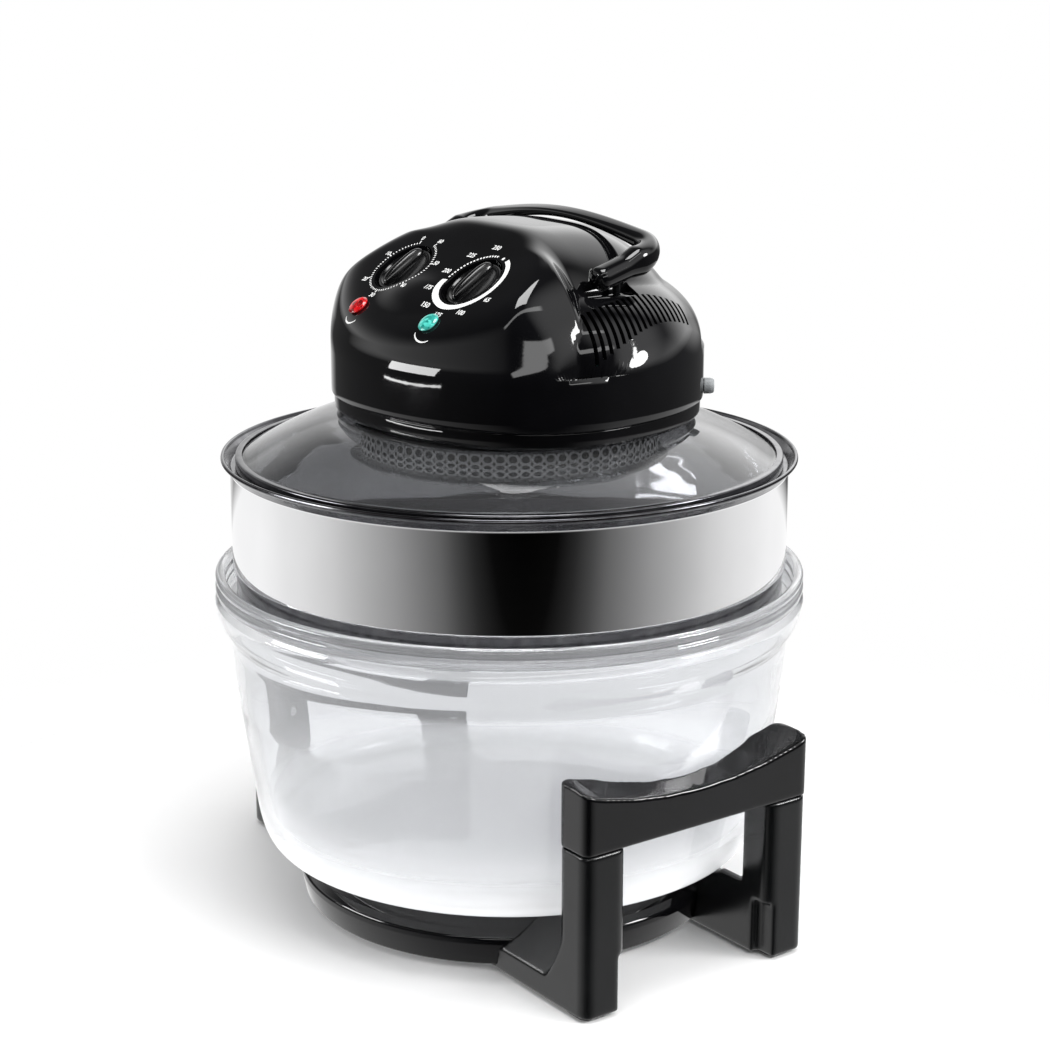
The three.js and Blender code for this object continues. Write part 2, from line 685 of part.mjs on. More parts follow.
function slopeNormal(x, y) {
  const step = head.wall;
  const dx = coverHeight(x + step, y) - coverHeight(x - step, y);
  const dy = coverHeight(x, y + step) - coverHeight(x, y - step);
  return new THREE.Vector3(-dx, -dy, step * 2).normalize();
}

// Head base: floor, skirt wall and the neck that goes down through the glass
const coverScrewPlaces = [
  [coverBoss.x, coverBoss.frontY], [-coverBoss.x, coverBoss.frontY],
  [coverBoss.x, coverBoss.backY], [-coverBoss.x, coverBoss.backY],
].map(([x, y]) => new THREE.Vector3(x, y, floorZ + seatGap));
const bossFoot = floorTop + seatGap;
let baseBody = loft([
  planRing(head.baseInset + head.skirt, baseZ),
  planRing(head.baseInset, baseZ + head.skirt),
  planRing(head.baseInset, coverZ - seatGap),
]);
baseBody = baseBody.subtract(loft([
  planRing(head.baseInset + head.wall, floorTop),
  planRing(head.baseInset + head.wall, coverZ + overrun),
]));
baseBody = baseBody.subtract(loft([
  planRing(head.baseInset + head.wall + head.skirt, baseZ - overrun),
  planRing(head.baseInset + head.wall + head.skirt, floorZ),
]));
const neckBottom = lidUnder;
baseBody = baseBody.add(washer(neck.inner, neck.outer, neckBottom, floorTop, midSides));
baseBody = baseBody.subtract(cylinder(floorPlate.opening, neckBottom - overrun,
  floorTop + overrun, midSides));
baseBody = drilled(baseBody, coverScrewPlaces, screw.length);
baseBody = drilled(baseBody, guardScrewPlaces, guardScrewLength);
place('head_base', baseBody, glossBlack);

// Dials: a well in the cover, a knob on its shaft and a box behind
const dialAxis = new THREE.Vector3(0, -Math.sin(dial.tilt), Math.cos(dial.tilt));
function dialPlace(sx, along) {
  const x = sx * dial.halfPitch;
  const at = new THREE.Vector3(x, dial.frontY, coverHeight(x, dial.frontY));
  return at.addScaledVector(dialAxis, along);
}
const knobBottom = -dial.wellDepth + runGap;
function knobBody() {
  const disc = turned([
    [0, knobBottom], [dial.knobRadius, knobBottom],
    [dial.knobRadius, knobBottom + dial.discHeight * 0.75],
    [dial.knobRadius - dial.discHeight / 4, knobBottom + dial.discHeight],
    [0, knobBottom + dial.discHeight],
  ], midSides);
  const reach = dial.knobRadius - dial.discHeight / 4;
  const wing = new THREE.Shape();
  wing.moveTo(-dial.wingWidth / 4, -reach);
  wing.quadraticCurveTo(-dial.wingWidth * 0.75, 0, -dial.wingWidth / 4, reach);
  wing.lineTo(dial.wingWidth / 4, reach);
  wing.quadraticCurveTo(dial.wingWidth * 0.75, 0, dial.wingWidth / 4, -reach);
  wing.closePath();
  const wingBody = prism(wing, knobBottom + runGap, knobBottom + dial.wingHeight, 6);
  const stem = cylinder(dial.shaftRadius, knobBottom - dial.shaftLength,
    knobBottom + runGap);
  return disc.add(wingBody).add(stem);
}
function dialBox() {
  const top = -dial.wellDepth - dial.wellWall - seatGap;
  const side = dial.boxSide;
  const body = prism(roundedShape(side, side, side / 8), top - dial.boxDepth, top);
  const bore = cylinder(dial.shaftRadius + runGap, knobBottom - dial.shaftLength - runGap,
    top + overrun);
  return body.subtract(bore);
}
const dials = [['timer', -1], ['temperature', 1]];
dials.forEach(([name, sx]) => {
  place(`${name}_knob`, aimed(knobBody(), dialAxis, dialPlace(sx, 0)), glossBlack);
  place(`${name}_body`, aimed(dialBox(), dialAxis, dialPlace(sx, 0)), greyPlastic);
});

// Indicator lamps: a lens through the cover with a neon lamp behind it
const lenses = [['power', -1, redLens], ['heat', 1, greenLens]];
function lampFrame(sx) {
  const x = sx * lamp.halfPitch;
  return [slopeNormal(x, lamp.frontY),
    new THREE.Vector3(x, lamp.frontY, coverHeight(x, lamp.frontY))];
}
const lensBody = turned([
  [0, -lamp.stem], [lamp.stemRadius, -lamp.stem], [lamp.stemRadius, seatGap * 2],
  [lamp.flangeRadius, seatGap * 2], [lamp.flangeRadius, lamp.flange],
  [lamp.flangeRadius * 0.72, lamp.flange + lamp.dome * 0.7],
  [0, lamp.flange + lamp.dome],
], lampSides);
const neonBody = cylinder(lamp.neonRadius, -lamp.stem - seatGap - lamp.neonLength,
  -lamp.stem - seatGap);
lenses.forEach(([name, sx, material]) => {
  const [normal, at] = lampFrame(sx);
  place(`${name}_lens`, aimed(lensBody, normal, at), material);
  place(`${name}_neon`, aimed(neonBody, normal, at), neonGlass);
});

// Carry handle: a U-shaped bar on two pins, laid back over the crown
const pivotAt = new THREE.Vector3(0, handle.pivotY, pivotZ);
const armDirection = new THREE.Vector3(0, Math.cos(handle.lean), Math.sin(handle.lean));
const armNormal = new THREE.Vector3(0, -Math.sin(handle.lean), Math.cos(handle.lean));
// Centre line of the right half, as [x, distance along the arm]
function handlePath() {
  const points = [];
  const start = -handle.behind;
  const straight = handle.reach - handle.cornerRadius;
  for (let k = 0; k <= 3; k += 1) {
    points.push([handle.armX, start + (k / 3) * (straight - start)]);
  }
  for (let k = 1; k <= 5; k += 1) {
    const angle = (k / 5) * Math.PI / 2;
    points.push([
      handle.armX - handle.cornerRadius * (1 - Math.cos(angle)),
      straight + handle.cornerRadius * Math.sin(angle),
    ]);
  }
  const flat = handle.armX - handle.cornerRadius;
  for (let k = 1; k <= 3; k += 1) {
    points.push([flat * (1 - k / 3), handle.reach]);
  }
  return points;
}
function handleSection(size, thick) {
  const shape = [];
  const corners = [[1, 1], [-1, 1], [-1, -1], [1, -1]];
  const round = Math.min(handle.round, thick / 3);
  corners.forEach(([cx, cy], q) => {
    for (let k = 0; k <= 2; k += 1) {
      const angle = (q + k / 2) * Math.PI / 2;
      shape.push([
        cx * (size / 2 - round) + round * Math.cos(angle),
        cy * (thick / 2 - round) + round * Math.sin(angle),
      ]);
    }
  });
  return shape;
}
function handleBody() {
  const half = handlePath();
  const straightReach = handle.reach - handle.cornerRadius;
  const whole = [...half, ...half.slice(0, -1).reverse().map(([x, t]) => [-x, t])];
  const rings = whole.map(([x, t], i) => {
    const before = whole[Math.max(i - 1, 0)];
    const after = whole[Math.min(i + 1, whole.length - 1)];
    const run = new THREE.Vector2(after[0] - before[0], after[1] - before[1]).normalize();
    const side = new THREE.Vector2(run.y, -run.x);
    const middle = Math.max(0, Math.cos((x / handle.armX) * Math.PI / 2));
    const thinning = middle ** barShares.power;
    const swell = handle.haunch * THREE.MathUtils.clamp(
      (t - handle.haunchFrom) / (straightReach - handle.haunchFrom), 0, 1,
    );
    const thick = (handle.thickness + swell) * (1 - (1 - barShares.thickness) * thinning);
    const width = handle.width * (1 - (1 - barShares.width) * thinning);
    const rise = handle.bow * middle + thinning * (handle.thickness + swell - thick) / 2;
    const inward = handle.flat * middle - (handle.width - width) / 2;
    return handleSection(width, thick).map(([u, v]) => {
      const along = t + side.y * u - (i >= armStations && i < whole.length - armStations ? inward : 0);
      const p = new THREE.Vector3(x + side.x * u, 0, 0);
      return p.add(pivotAt).addScaledVector(armDirection, along)
        .addScaledVector(armNormal, rise + v);
    });
  });
  let body = loft(rings.reverse());
  if (body.volume() < 0) body = loft(rings.reverse());
  return body;
}
const across = new THREE.Vector3(1, 0, 0);
const pinOuter = handle.armX + handle.width / 4;
const pinInner = handle.armX - handle.width / 2 - pin.inboard;
const pinLength = pinOuter - pinInner;
const pinPlace = new THREE.Vector3(pinInner, handle.pivotY, pivotZ);
const pinBody = aimed(cylinder(pin.radius, 0, pinLength), across, pinPlace);
const pinHole = aimed(cylinder(pin.radius + seatGap, -seatGap, pinLength + seatGap), across,
  pinPlace);
let bail = handleBody();
[pinHole, mirrored(pinHole)].forEach((body) => { bail = bail.subtract(body); });
place('carry_handle', bail, glossBlack);
place('pivot_pin_right', pinBody, brushedSteel);
place('pivot_pin_left', mirrored(pinBody), brushedSteel);

// Head cover: the domed shell with wells, lamp holes, vents, pockets and screw bosses
const outerDome = domeBody(0, coverZ);
let cover = outerDome.subtract(domeBody(head.wall, coverZ - overrun));
const well = cylinder(dial.wellRadius + dial.wellWall, -dial.wellDepth - dial.wellWall,
  dial.wellDepth, midSides);
const wellCut = cylinder(dial.wellRadius, -dial.wellDepth, dial.wellDepth * 3, midSides);
const shaftCut = cylinder(dial.shaftRadius + runGap, -dial.wellDepth * 2, 0);
const pocketFloor = pivotZ - pocket.depth;
const pocketLow = [handle.armX - handle.width / 2 - pocket.side, pocket.frontY, pocketFloor];
const pocketHigh = [handle.armX + handle.width / 2 + pocket.side, pocket.backY,
  pivotZ + crown.rise];
const pocketCut = box(pocketLow, pocketHigh);
const pocketShell = box(
  [pocketLow[0] - pin.inboard - pocket.wall, pocketLow[1] - pocket.wall,
    pocketLow[2] - pocket.wall],
  [pocketHigh[0] + pocket.wall, pocketHigh[1] + pocket.wall, pocketHigh[2]],
);
const plungerTop = pivotZ - handle.thickness / 2 / Math.cos(handle.lean) - seatGap
  + (plunger.y - plunger.radius - handle.pivotY) * Math.tan(handle.lean);
const plungerX = handle.armX - plunger.inboard;
const switchTop = coverHeight(plungerX + microswitch.x / 2, plunger.y + microswitch.y / 2,
  head.wall) - runGap;
const plungerBoss = shifted(cylinder(plunger.boss, switchTop + seatGap, pocketFloor),
  plungerX, plunger.y, 0);
const plungerHole = shifted(cylinder(plunger.radius + seatGap, switchTop - overrun,
  pocketFloor + overrun), plungerX, plunger.y, 0);
dials.forEach(([, sx]) => {
  cover = cover.add(aimed(well, dialAxis, dialPlace(sx, 0)).intersect(outerDome));
});
[pocketShell, mirrored(pocketShell)].forEach((body) => {
  cover = cover.add(body.intersect(outerDome));
});
cover = cover.add(plungerBoss);
coverScrewPlaces.forEach(({ x, y }) => {
  const post = cylinder(coverBoss.radius, bossFoot, coverHeight(x, y));
  cover = cover.add(shifted(post, x, y, 0).intersect(domeBody(head.wall / 2, bossFoot)));
});
dials.forEach(([, sx]) => {
  cover = cover.subtract(aimed(wellCut, dialAxis, dialPlace(sx, 0)));
  cover = cover.subtract(aimed(shaftCut, dialAxis, dialPlace(sx, 0)));
});
[pocketCut, mirrored(pocketCut), pinHole, mirrored(pinHole), plungerHole].forEach((body) => {
  cover = cover.subtract(body);
});
const lensHole = cylinder(lamp.stemRadius + seatGap, -lamp.stem, lamp.stem, lampSides);
lenses.forEach(([, sx]) => {
  const [normal, at] = lampFrame(sx);
  cover = cover.subtract(aimed(lensHole, normal, at));
});
cover = drilled(cover, coverScrewPlaces, screw.length);

function alongVents(shares, share) {
  const [first, middle, last] = shares;
  const rest = 1 - share;
  return first * rest * rest + (4 * middle - first - last) * share * rest + last * share * share;
}
for (let i = 0; i < vent.count; i += 1) {
  const rowShare = i / (vent.count - 1);
  const y = vent.firstY + i * vent.pitch;
  const low = wallTopZ + alongVents(ventBottomShares, rowShare) * shoulder.rise;
  const high = wallTopZ + alongVents(ventTopShares, rowShare) * shoulder.rise;
  const slot = box(
    [vent.innerX, y - vent.width / 2, low],
    [head.halfWidth + overrun, y + vent.width / 2, high],
  );
  cover = cover.subtract(slot).subtract(mirrored(slot));
}

// Cord gland in the cover's rear wall
const glandPoint = planPoint(gland.angle, 0);
const glandNext = planPoint(gland.angle + 0.01, 0);
const glandAxis = new THREE.Vector3(glandNext.y - glandPoint.y, glandPoint.x - glandNext.x, 0);
const glandPlace = new THREE.Vector3(glandPoint.x, glandPoint.y, baseZ + gland.height);
const glandBody = turned([
  [0, -head.wall - seatGap], [gland.stem, -head.wall - seatGap], [gland.stem, seatGap * 2],
  [gland.radius, seatGap * 2], [gland.radius, gland.length / 3], [gland.tip, gland.length],
  [0, gland.length],
], smallSides);
const glandHole = cylinder(gland.stem + seatGap, -head.wall * 3, head.wall * 2);
cover = cover.subtract(aimed(glandHole, glandAxis, glandPlace));
place('head_cover', cover, glossBlack);
place('cord_gland', aimed(glandBody, glandAxis, glandPlace), rubber);

const screwNames = ['right_front', 'left_front', 'right_rear', 'left_rear'];
coverScrewPlaces.forEach((at, i) => {
  place(`cover_screw_${screwNames[i]}`, aimed(screwBody(), down, at), brushedSteel);
});
guardScrewPlaces.forEach((at, i) => {
  place(`guard_screw_${i + 1}`, aimed(screwBody(guardScrewLength), down, at), brushedSteel);
});

// Safety switch under the right pocket, worked by the handle through its plunger
const plungerBottom = plungerTop - plunger.length;
place('switch_plunger', shifted(cylinder(plunger.radius, plungerBottom, plungerTop),
  plungerX, plunger.y, 0), greyPlastic);
const switchLow = [plungerX - microswitch.x / 2, plunger.y - microswitch.y / 2,
  switchTop - microswitch.z];
const switchBody = box(switchLow, switchLow.map((value, i) => (
  value + [microswitch.x, microswitch.y, microswitch.z][i])));
const plungerBore = cylinder(plunger.radius + seatGap, plungerBottom - seatGap,
  switchTop + overrun);
place('safety_switch', switchBody.subtract(shifted(plungerBore, plungerX, plunger.y, 0)),
  satinBlack);

// Heat shield, guard basket and the lamp between them
const shieldBody = washer(shaft.radius + runGap * 2, shield.radius, shieldZ,
  shieldZ + shield.sheet, midSides);
place('heat_shield', shieldBody, brushedSteel);

const guardZ = guardTop - guard.depth;
const lipZ = guardZ + guard.lipHeight;
let guardBody = turned([
  [0, guardZ], [guard.lipRadius - guard.sheet, guardZ], [guard.lipRadius, guardZ + guard.sheet],
  [guard.lipRadius - guard.sheet, lipZ], [guard.wallRadius, lipZ + guard.sheet / 2],
  [guard.wallRadius, guardTop], [neck.inner, guardTop], [neck.inner, guardTop - guard.sheet],
  [guard.wallRadius - guard.sheet, guardTop - guard.sheet],
  [guard.wallRadius - guard.sheet, guardZ + guard.sheet], [0, guardZ + guard.sheet],
], midSides);
guardHoleRings.forEach(([count, share]) => {
  for (let i = 0; i < count; i += 1) {
    const angle = (i / count) * Math.PI * 2;
    const hole = cylinder(guard.holeRadius, guardZ - overrun, guardZ + overrun * 2, 6);
    const radius = share * guard.wallRadius;
    guardBody = guardBody.subtract(shifted(hole, radius * Math.cos(angle),
      radius * Math.sin(angle), 0));
  }
});
for (let i = 0; i < guardSlots; i += 1) {
  const slot = box(
    [guard.wallRadius - overrun * 2, -guard.slotWidth / 2, guardTop - guard.sheet * 2
      - guard.slotHeight],
    [guard.wallRadius + overrun, guard.slotWidth / 2, guardTop - guard.sheet * 2],
  );
  const geometry = geometryOf(slot);
  geometry.rotateZ((i / guardSlots) * Math.PI * 2);
  guardBody = guardBody.subtract(solid(geometry));
}
place('guard_basket', drilled(guardBody, guardScrewPlaces, guardScrewLength), brushedSteel);

const tubeZ = shieldZ - tube.drop;
const tubeSides = 8;
const tubeSteps = 24;
const tubeRings = Array.from({ length: tubeSteps + 1 }, (_, k) => {
  const angle = Math.PI * 1.5 + tube.gapAngle
    + (k / tubeSteps) * (Math.PI * 2 - tube.gapAngle * 2);
  return Array.from({ length: tubeSides }, (__, i) => {
    const turn = -(i / tubeSides) * Math.PI * 2;
    const radius = tube.ringRadius + tube.radius * Math.cos(turn);
    return new THREE.Vector3(radius * Math.cos(angle), radius * Math.sin(angle),
      tubeZ + tube.radius * Math.sin(turn));
  });
});
let tubeBody = loft(tubeRings);
if (tubeBody.volume() < 0) tubeBody = loft(tubeRings.reverse());
place('halogen_tube', tubeBody, quartz);

const holderAngle = tube.gapAngle - (holder.size / 2 + runGap * 2) / tube.ringRadius;
[['left', -1], ['right', 1]].forEach(([name, side]) => {
  const half = holder.size / 2;
  const top = shieldZ - seatGap;
  const block = box([tube.ringRadius - half, -half, top - holder.height],
    [tube.ringRadius + half - seatGap, half, top]);
  const geometry = geometryOf(block);
  geometry.rotateZ(Math.PI * 1.5 + side * holderAngle);
  place(`lamp_holder_${name}`, solid(geometry), ceramic);
});

// Motor: rotor on a long shaft, stator and coil on a bracket, and two fans
const shaftTop = floorTop + shaft.top;
const statorZ = floorTop + bracket.clearBelow + bracket.bar + seatGap;
const statorTop = statorZ + stator.stack;
const shaftFoot = shieldZ - shaft.foot;
const rotorBody = cylinder(shaft.radius, shaftFoot, shaftTop)
  .add(cylinder(stator.rotorRadius, statorZ, statorTop, 24));
place('motor_rotor', rotorBody, lamination);
let statorBody = box([-stator.width / 2, -stator.front, statorZ],
  [stator.width / 2, stator.back, statorTop]);
statorBody = statorBody.subtract(cylinder(stator.rotorRadius + stator.air,
  statorZ - overrun, statorTop + overrun, 24));
const windowBack = stator.back - stator.leg;
statorBody = statorBody.subtract(box(
  [-coil.width / 2 - seatGap, windowBack - stator.window, statorZ - overrun],
  [coil.width / 2 + seatGap, windowBack, statorTop + overrun],
));
place('motor_stator', statorBody, lamination);
let coilBody = box(
  [-coil.width / 2, windowBack - coil.wall, statorZ - coil.overhang],
  [coil.width / 2, stator.back + coil.wall, statorTop + coil.overhang],
);
coilBody = coilBody.subtract(box(
  [-coil.width, windowBack - seatGap, statorZ - seatGap],
  [coil.width, stator.back + seatGap, statorTop + seatGap],
));
place('motor_coil', coilBody, copper);

const barZ = statorZ - seatGap - bracket.bar;
const topBarZ = statorTop + seatGap;
let bracketBody = box(
  [-bracket.halfSpan, -bracket.width / 2, bossFoot],
  [bracket.halfSpan, bracket.width / 2, topBarZ + bracket.bar],
);
bracketBody = bracketBody.subtract(box(
  [bracket.bar - bracket.halfSpan, -bracket.width, topBarZ - stator.stack - seatGap * 2],
  [bracket.halfSpan - bracket.bar, bracket.width, topBarZ],
));
bracketBody = bracketBody.subtract(box(
  [bracket.bar - bracket.halfSpan, -bracket.width, bossFoot - overrun],
  [bracket.halfSpan - bracket.bar, bracket.width, barZ],
));
bracketBody = bracketBody.add(cylinder(bracket.boss, topBarZ, topBarZ + bracket.boss));
bracketBody = bracketBody.subtract(cylinder(shaft.radius + seatGap, barZ - overrun,
  topBarZ + bracket.boss + overrun));
place('motor_bracket', bracketBody, brushedSteel);

function fanBody(fan, bottom) {
  let body = cylinder(fan.hub, bottom, bottom + fan.height);
  for (let i = 0; i < fan.blades; i += 1) {
    const blade = new THREE.BoxGeometry(fan.radius - fan.hub / 2, fan.blade, fan.height);
    blade.rotateX(Math.PI / 7);
    blade.translate((fan.radius + fan.hub / 2) / 2, 0, bottom + fan.height / 2);
    blade.rotateZ((i / fan.blades) * Math.PI * 2);
    body = body.add(solid(blade));
  }
  return body.subtract(cylinder(shaft.radius + seatGap, bottom - overrun,
    bottom + fan.height + overrun));
}
place('convection_fan', fanBody(hotFan, shieldZ - hotFan.drop), aluminium);
place('cooling_fan', fanBody(coldFan, floorTop + coldFan.lift), aluminium);

place('terminal_block', box(
  [-terminal.x / 2, terminal.backY - terminal.y, bossFoot],
  [terminal.x / 2, terminal.backY, bossFoot + terminal.z],
), greyPlastic);

export default oven;
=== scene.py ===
# %% [markdown]
# # A tabletop halogen convection oven
# The real thing is a glass bowl in a black stand, a polished steel extender ring on the bowl's
# ledge, and a smoked glass lid that carries the motor head. The solids come from the CAD model,
# already in metres and in place, and this script dresses them.

from math import copysign, cos, degrees, exp, log1p, pi, radians, sin, tan

import bmesh
import bpy
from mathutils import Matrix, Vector


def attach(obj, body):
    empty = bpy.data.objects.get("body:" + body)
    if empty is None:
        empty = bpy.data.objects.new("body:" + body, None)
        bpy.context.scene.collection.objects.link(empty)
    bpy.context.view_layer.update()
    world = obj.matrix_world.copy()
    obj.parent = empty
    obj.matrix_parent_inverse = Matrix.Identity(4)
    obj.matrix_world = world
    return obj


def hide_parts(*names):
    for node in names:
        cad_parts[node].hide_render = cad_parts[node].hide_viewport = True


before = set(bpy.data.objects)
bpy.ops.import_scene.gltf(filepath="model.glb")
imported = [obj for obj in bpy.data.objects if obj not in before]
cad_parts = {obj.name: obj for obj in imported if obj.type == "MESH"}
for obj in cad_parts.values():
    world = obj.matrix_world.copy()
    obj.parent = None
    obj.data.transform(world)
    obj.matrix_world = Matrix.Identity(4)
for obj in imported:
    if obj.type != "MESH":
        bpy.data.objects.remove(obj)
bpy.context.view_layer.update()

# %% [markdown]
# ## The camera
# A product photo is taken from a little above the lid with a long lens, so that the round
# pieces stay round. Here the camera stands 1.3 m away, 15 degrees up, and the object stands a
# little left of the middle, which the shift gives.

# %% Camera
def placed(name, data):
    """An object of some data, in the scene."""
    made = bpy.data.objects.new(name, data)
    bpy.context.scene.collection.objects.link(made)
    return made


lens_data = bpy.data.cameras.new("camera")
camera = placed("camera", lens_data)
camera.location = (1.0267, -0.7460, 0.5602)
aim = Vector((0, 0, 0.2235))
camera.rotation_euler = (aim - camera.location).to_track_quat("-Z", "Y").to_euler()
lens_data.sensor_width = 36
lens_data.lens = 77.4
lens_data.shift_x = 0.0150
bpy.context.scene.camera = camera
print("camera at", tuple(camera.location))

# %% [markdown]
# ## Working in millimetres
# The maker's drawing is in millimetres and Blender works in metres. Every shape below is
# written in millimetres, and one helper turns it into a mesh, gives it its finish and fixes it
# to the body that carries it. Edges that bend more than the crease angle stay sharp.

# %% From points to a piece
MM = 0.001


def dressed(name, mesh, body, material, instead_of=None, crease=38):
    """An object of a mesh, smooth but for its creases, that rides on a body."""
    mesh.materials.clear()
    mesh.materials.append(material)
    mesh.shade_smooth()
    mesh.set_sharp_from_angle(angle=radians(crease))
    made = placed(name, mesh)
    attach(made, body)
    if instead_of:
        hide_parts(instead_of)
    print(name, len(mesh.polygons), "faces")
    return made


def meshed(name, points, faces, apart=0.002, outward=True):
    """A mesh of points in mm and faces. Points closer than apart are merged."""
    mesh = bpy.data.meshes.new(name)
    mesh.from_pydata([Vector(p) * MM for p in points], [], faces)
    work = bmesh.new()
    work.from_mesh(mesh)
    bmesh.ops.remove_doubles(work, verts=work.verts, dist=apart * MM)
    if outward:
        bmesh.ops.recalc_face_normals(work, faces=work.faces)
    work.to_mesh(mesh)
    work.free()
    return mesh


def skin(name, rows, ring=True, loop=False, capped=False):
    """A mesh through rows of points in mm."""
    across = len(rows[0])
    points = [p for row in rows for p in row]
    faces = []
    for j in range(len(rows) if loop else len(rows) - 1):
        for i in range(across if ring else across - 1):
            a, b = j * across, (j + 1) % len(rows) * across
            k = (i + 1) % across
            faces.append((a + i, a + k, b + k, b + i))
    if capped:
        faces.append(tuple(range(across))[::-1])
        faces.append(tuple(len(points) - across + i for i in range(across)))
    return meshed(name, points, faces)


# %% [markdown]
# ## Turned pieces
# Bowls, rings and lids are all bodies of revolution. A profile of [radius, height] points is
# turned about the oven's axis. A third number rounds that corner with a fillet, as a mould or a
# spinning tool does.

# %% Profiles with fillets
def filleted(points, loop=False, steps=4):
    """The profile with its marked corners rounded."""
    out = []
    for i, point in enumerate(points):
        radius = point[2] if len(point) > 2 else 0
        if radius == 0 or (not loop and i in (0, len(points) - 1)):
            out.append((point[0], point[1]))
            continue
        corner = Vector(point[:2])
        back = Vector(points[i - 1][:2]) - corner
        ahead = Vector(points[(i + 1) % len(points)][:2]) - corner
        half = back.angle(ahead) / 2
        reach = min(radius / tan(half), 0.45 * back.length, 0.45 * ahead.length)
        start = corner + back.normalized() * reach
        end = corner + ahead.normalized() * reach
        for k in range(steps + 1):
            share = k / steps
            out.append(tuple(start.lerp(corner, share).lerp(corner.lerp(end, share), share)))
    return out


def spline(points, steps=6):
    """A smooth line through points."""
    out = []
    for i in range(len(points) - 1):
        a, b = points[max(i - 1, 0)], points[i]
        c, d = points[i + 1], points[min(i + 2, len(points) - 1)]
        for k in range(steps):
            t = k / steps
            out.append(tuple(
                0.5 * (2 * q + (r - p) * t + (2 * p - 5 * q + 4 * r - s) * t * t
                       + (3 * q - p - 3 * r + s) * t ** 3)
                for p, q, r, s in zip(a, b, c, d)))
    out.append(tuple(points[-1]))
    return out


def polar(radius, angle):
    """x and y of a point at a radius and an angle."""
    return radius * cos(angle), radius * sin(angle)


def whole_turn(sides):
    """Evenly spaced angles all round."""
    return [2 * pi * i / sides for i in range(sides)]


def turned(name, profile, loop=False, sides=180):
    """A profile turned about Z."""
    rows = [[(*polar(r, a), z) for a in whole_turn(sides)] for r, z in filleted(profile, loop)]
    return skin(name, rows, loop=loop)


# %% [markdown]
# ## Colours and nodes
# A colour is written as it looks on screen, in hex, and one function turns it into the linear
# values that the renderer works with. One small helper adds a node with its settings and links.

# %% Colour and node helpers
def linear(hex_colour):
    """An sRGB hex colour as linear RGBA."""
    channels = [int(hex_colour[i:i + 2], 16) / 255 for i in (1, 3, 5)]
    return [c / 12.92 if c <= 0.04045 else ((c + 0.055) / 1.055) ** 2.4
            for c in channels] + [1.0]


def node(tree, kind, values=None, links=None, **settings):
    """Adds a node: settings are its options, values fill sockets and links join them."""
    made = tree.nodes.new("ShaderNode" + kind)
    for key, value in settings.items():
        setattr(made, key, value)
    for key, value in (values or {}).items():
        made.inputs[key].default_value = value
    for key, (source, output) in (links or {}).items():
        tree.links.new(source.outputs[output], made.inputs[key])
    return made


print("mid grey is", [round(c, 3) for c in linear("#808080")[:3]])


# %% Clouds and finishes
def cloudy(tree, size, low=0, high=1, detail=3.0, stretch=(1, 1, 1)):
    """Soft clouds of a size in mm, as a value from low to high."""
    place = node(tree, "TexCoord")
    scaled = node(tree, "Mapping", {"Scale": stretch}, {"Vector": (place, "Object")})
    noise = node(tree, "TexNoise", {"Scale": 1 / (size * MM), "Detail": detail},
                 {"Vector": (scaled, "Vector")})
    return node(tree, "MapRange",
                {"From Min": 0.3, "From Max": 0.7, "To Min": low, "To Max": high},
                {"Value": (noise, "Fac")})


def shader_of(material):
    """A material's node tree and its Principled shader."""
    return material.node_tree, material.node_tree.nodes["Principled BSDF"]


def finish(name, colour, rough=None, bump=None, tint=None, **sockets):
    """A material whose clouds vary its roughness, its height and its colour.

    rough is (mm, low, high), bump (mm, depth, strength) and tint (mm, dark, light). What
    follows in each is the clouds' detail and stretch.
    """
    material = bpy.data.materials.new(name)
    material.use_nodes = True
    tree, shader = shader_of(material)
    shader.inputs["Base Color"].default_value = linear(colour)
    for key, value in sockets.items():
        shader.inputs[key.replace("_", " ")].default_value = value
    if rough:
        tree.links.new(cloudy(tree, *rough).outputs["Result"], shader.inputs["Roughness"])
    if bump:
        size, depth, strength, *rest = bump
        relief = node(tree, "Bump", {"Strength": strength, "Distance": depth * MM},
                      {"Height": (cloudy(tree, size, 0, 1, *rest), "Result")})
        tree.links.new(relief.outputs["Normal"], shader.inputs["Normal"])
    if tint:
        size, dark, light, *rest = tint
        mix = node(tree, "Mix", {"A": linear(dark), "B": linear(light)},
                   {"Factor": (cloudy(tree, size, 0, 1, *rest), "Result")}, data_type="RGBA")
        tree.links.new(mix.outputs["Result"], shader.inputs["Base Color"])
    return material


# %% [markdown]
# ## Black plastics
# The head, the ring and the bridge handles are ABS from a polished mould: nearly black, sharp
# reflections, and a faint orange peel that bends them. Fingerprints and wiping leave soft
# patches where the gloss is a little lower. The legs come from an eroded mould, so they have a
# fine satin grain. It is about 0.4 mm on the real part, and is drawn at 0.5 mm to show.

# %% Polished and satin ABS
polished_abs = finish("polished_black_abs", "#08080a", (22, 0.02, 0.06), (2.6, 0.02, 0.12, 1.0),
                      (40, "#070708", "#0c0c0e"), IOR=1.53)
satin_abs = finish("satin_black_abs", "#0d0e0f", (18, 0.13, 0.23), (0.5, 0.05, 0.35, 2.0),
                   (30, "#0a0b0c", "#101112"), IOR=1.53)
# The knobs are polished, and turning them by hand dulls the wing's edges
knob_abs = finish("handled_black_abs", "#0a0a0b", (6, 0.09, 0.2), (1.4, 0.02, 0.2, 2.0), IOR=1.53)
print("black plastics ready")
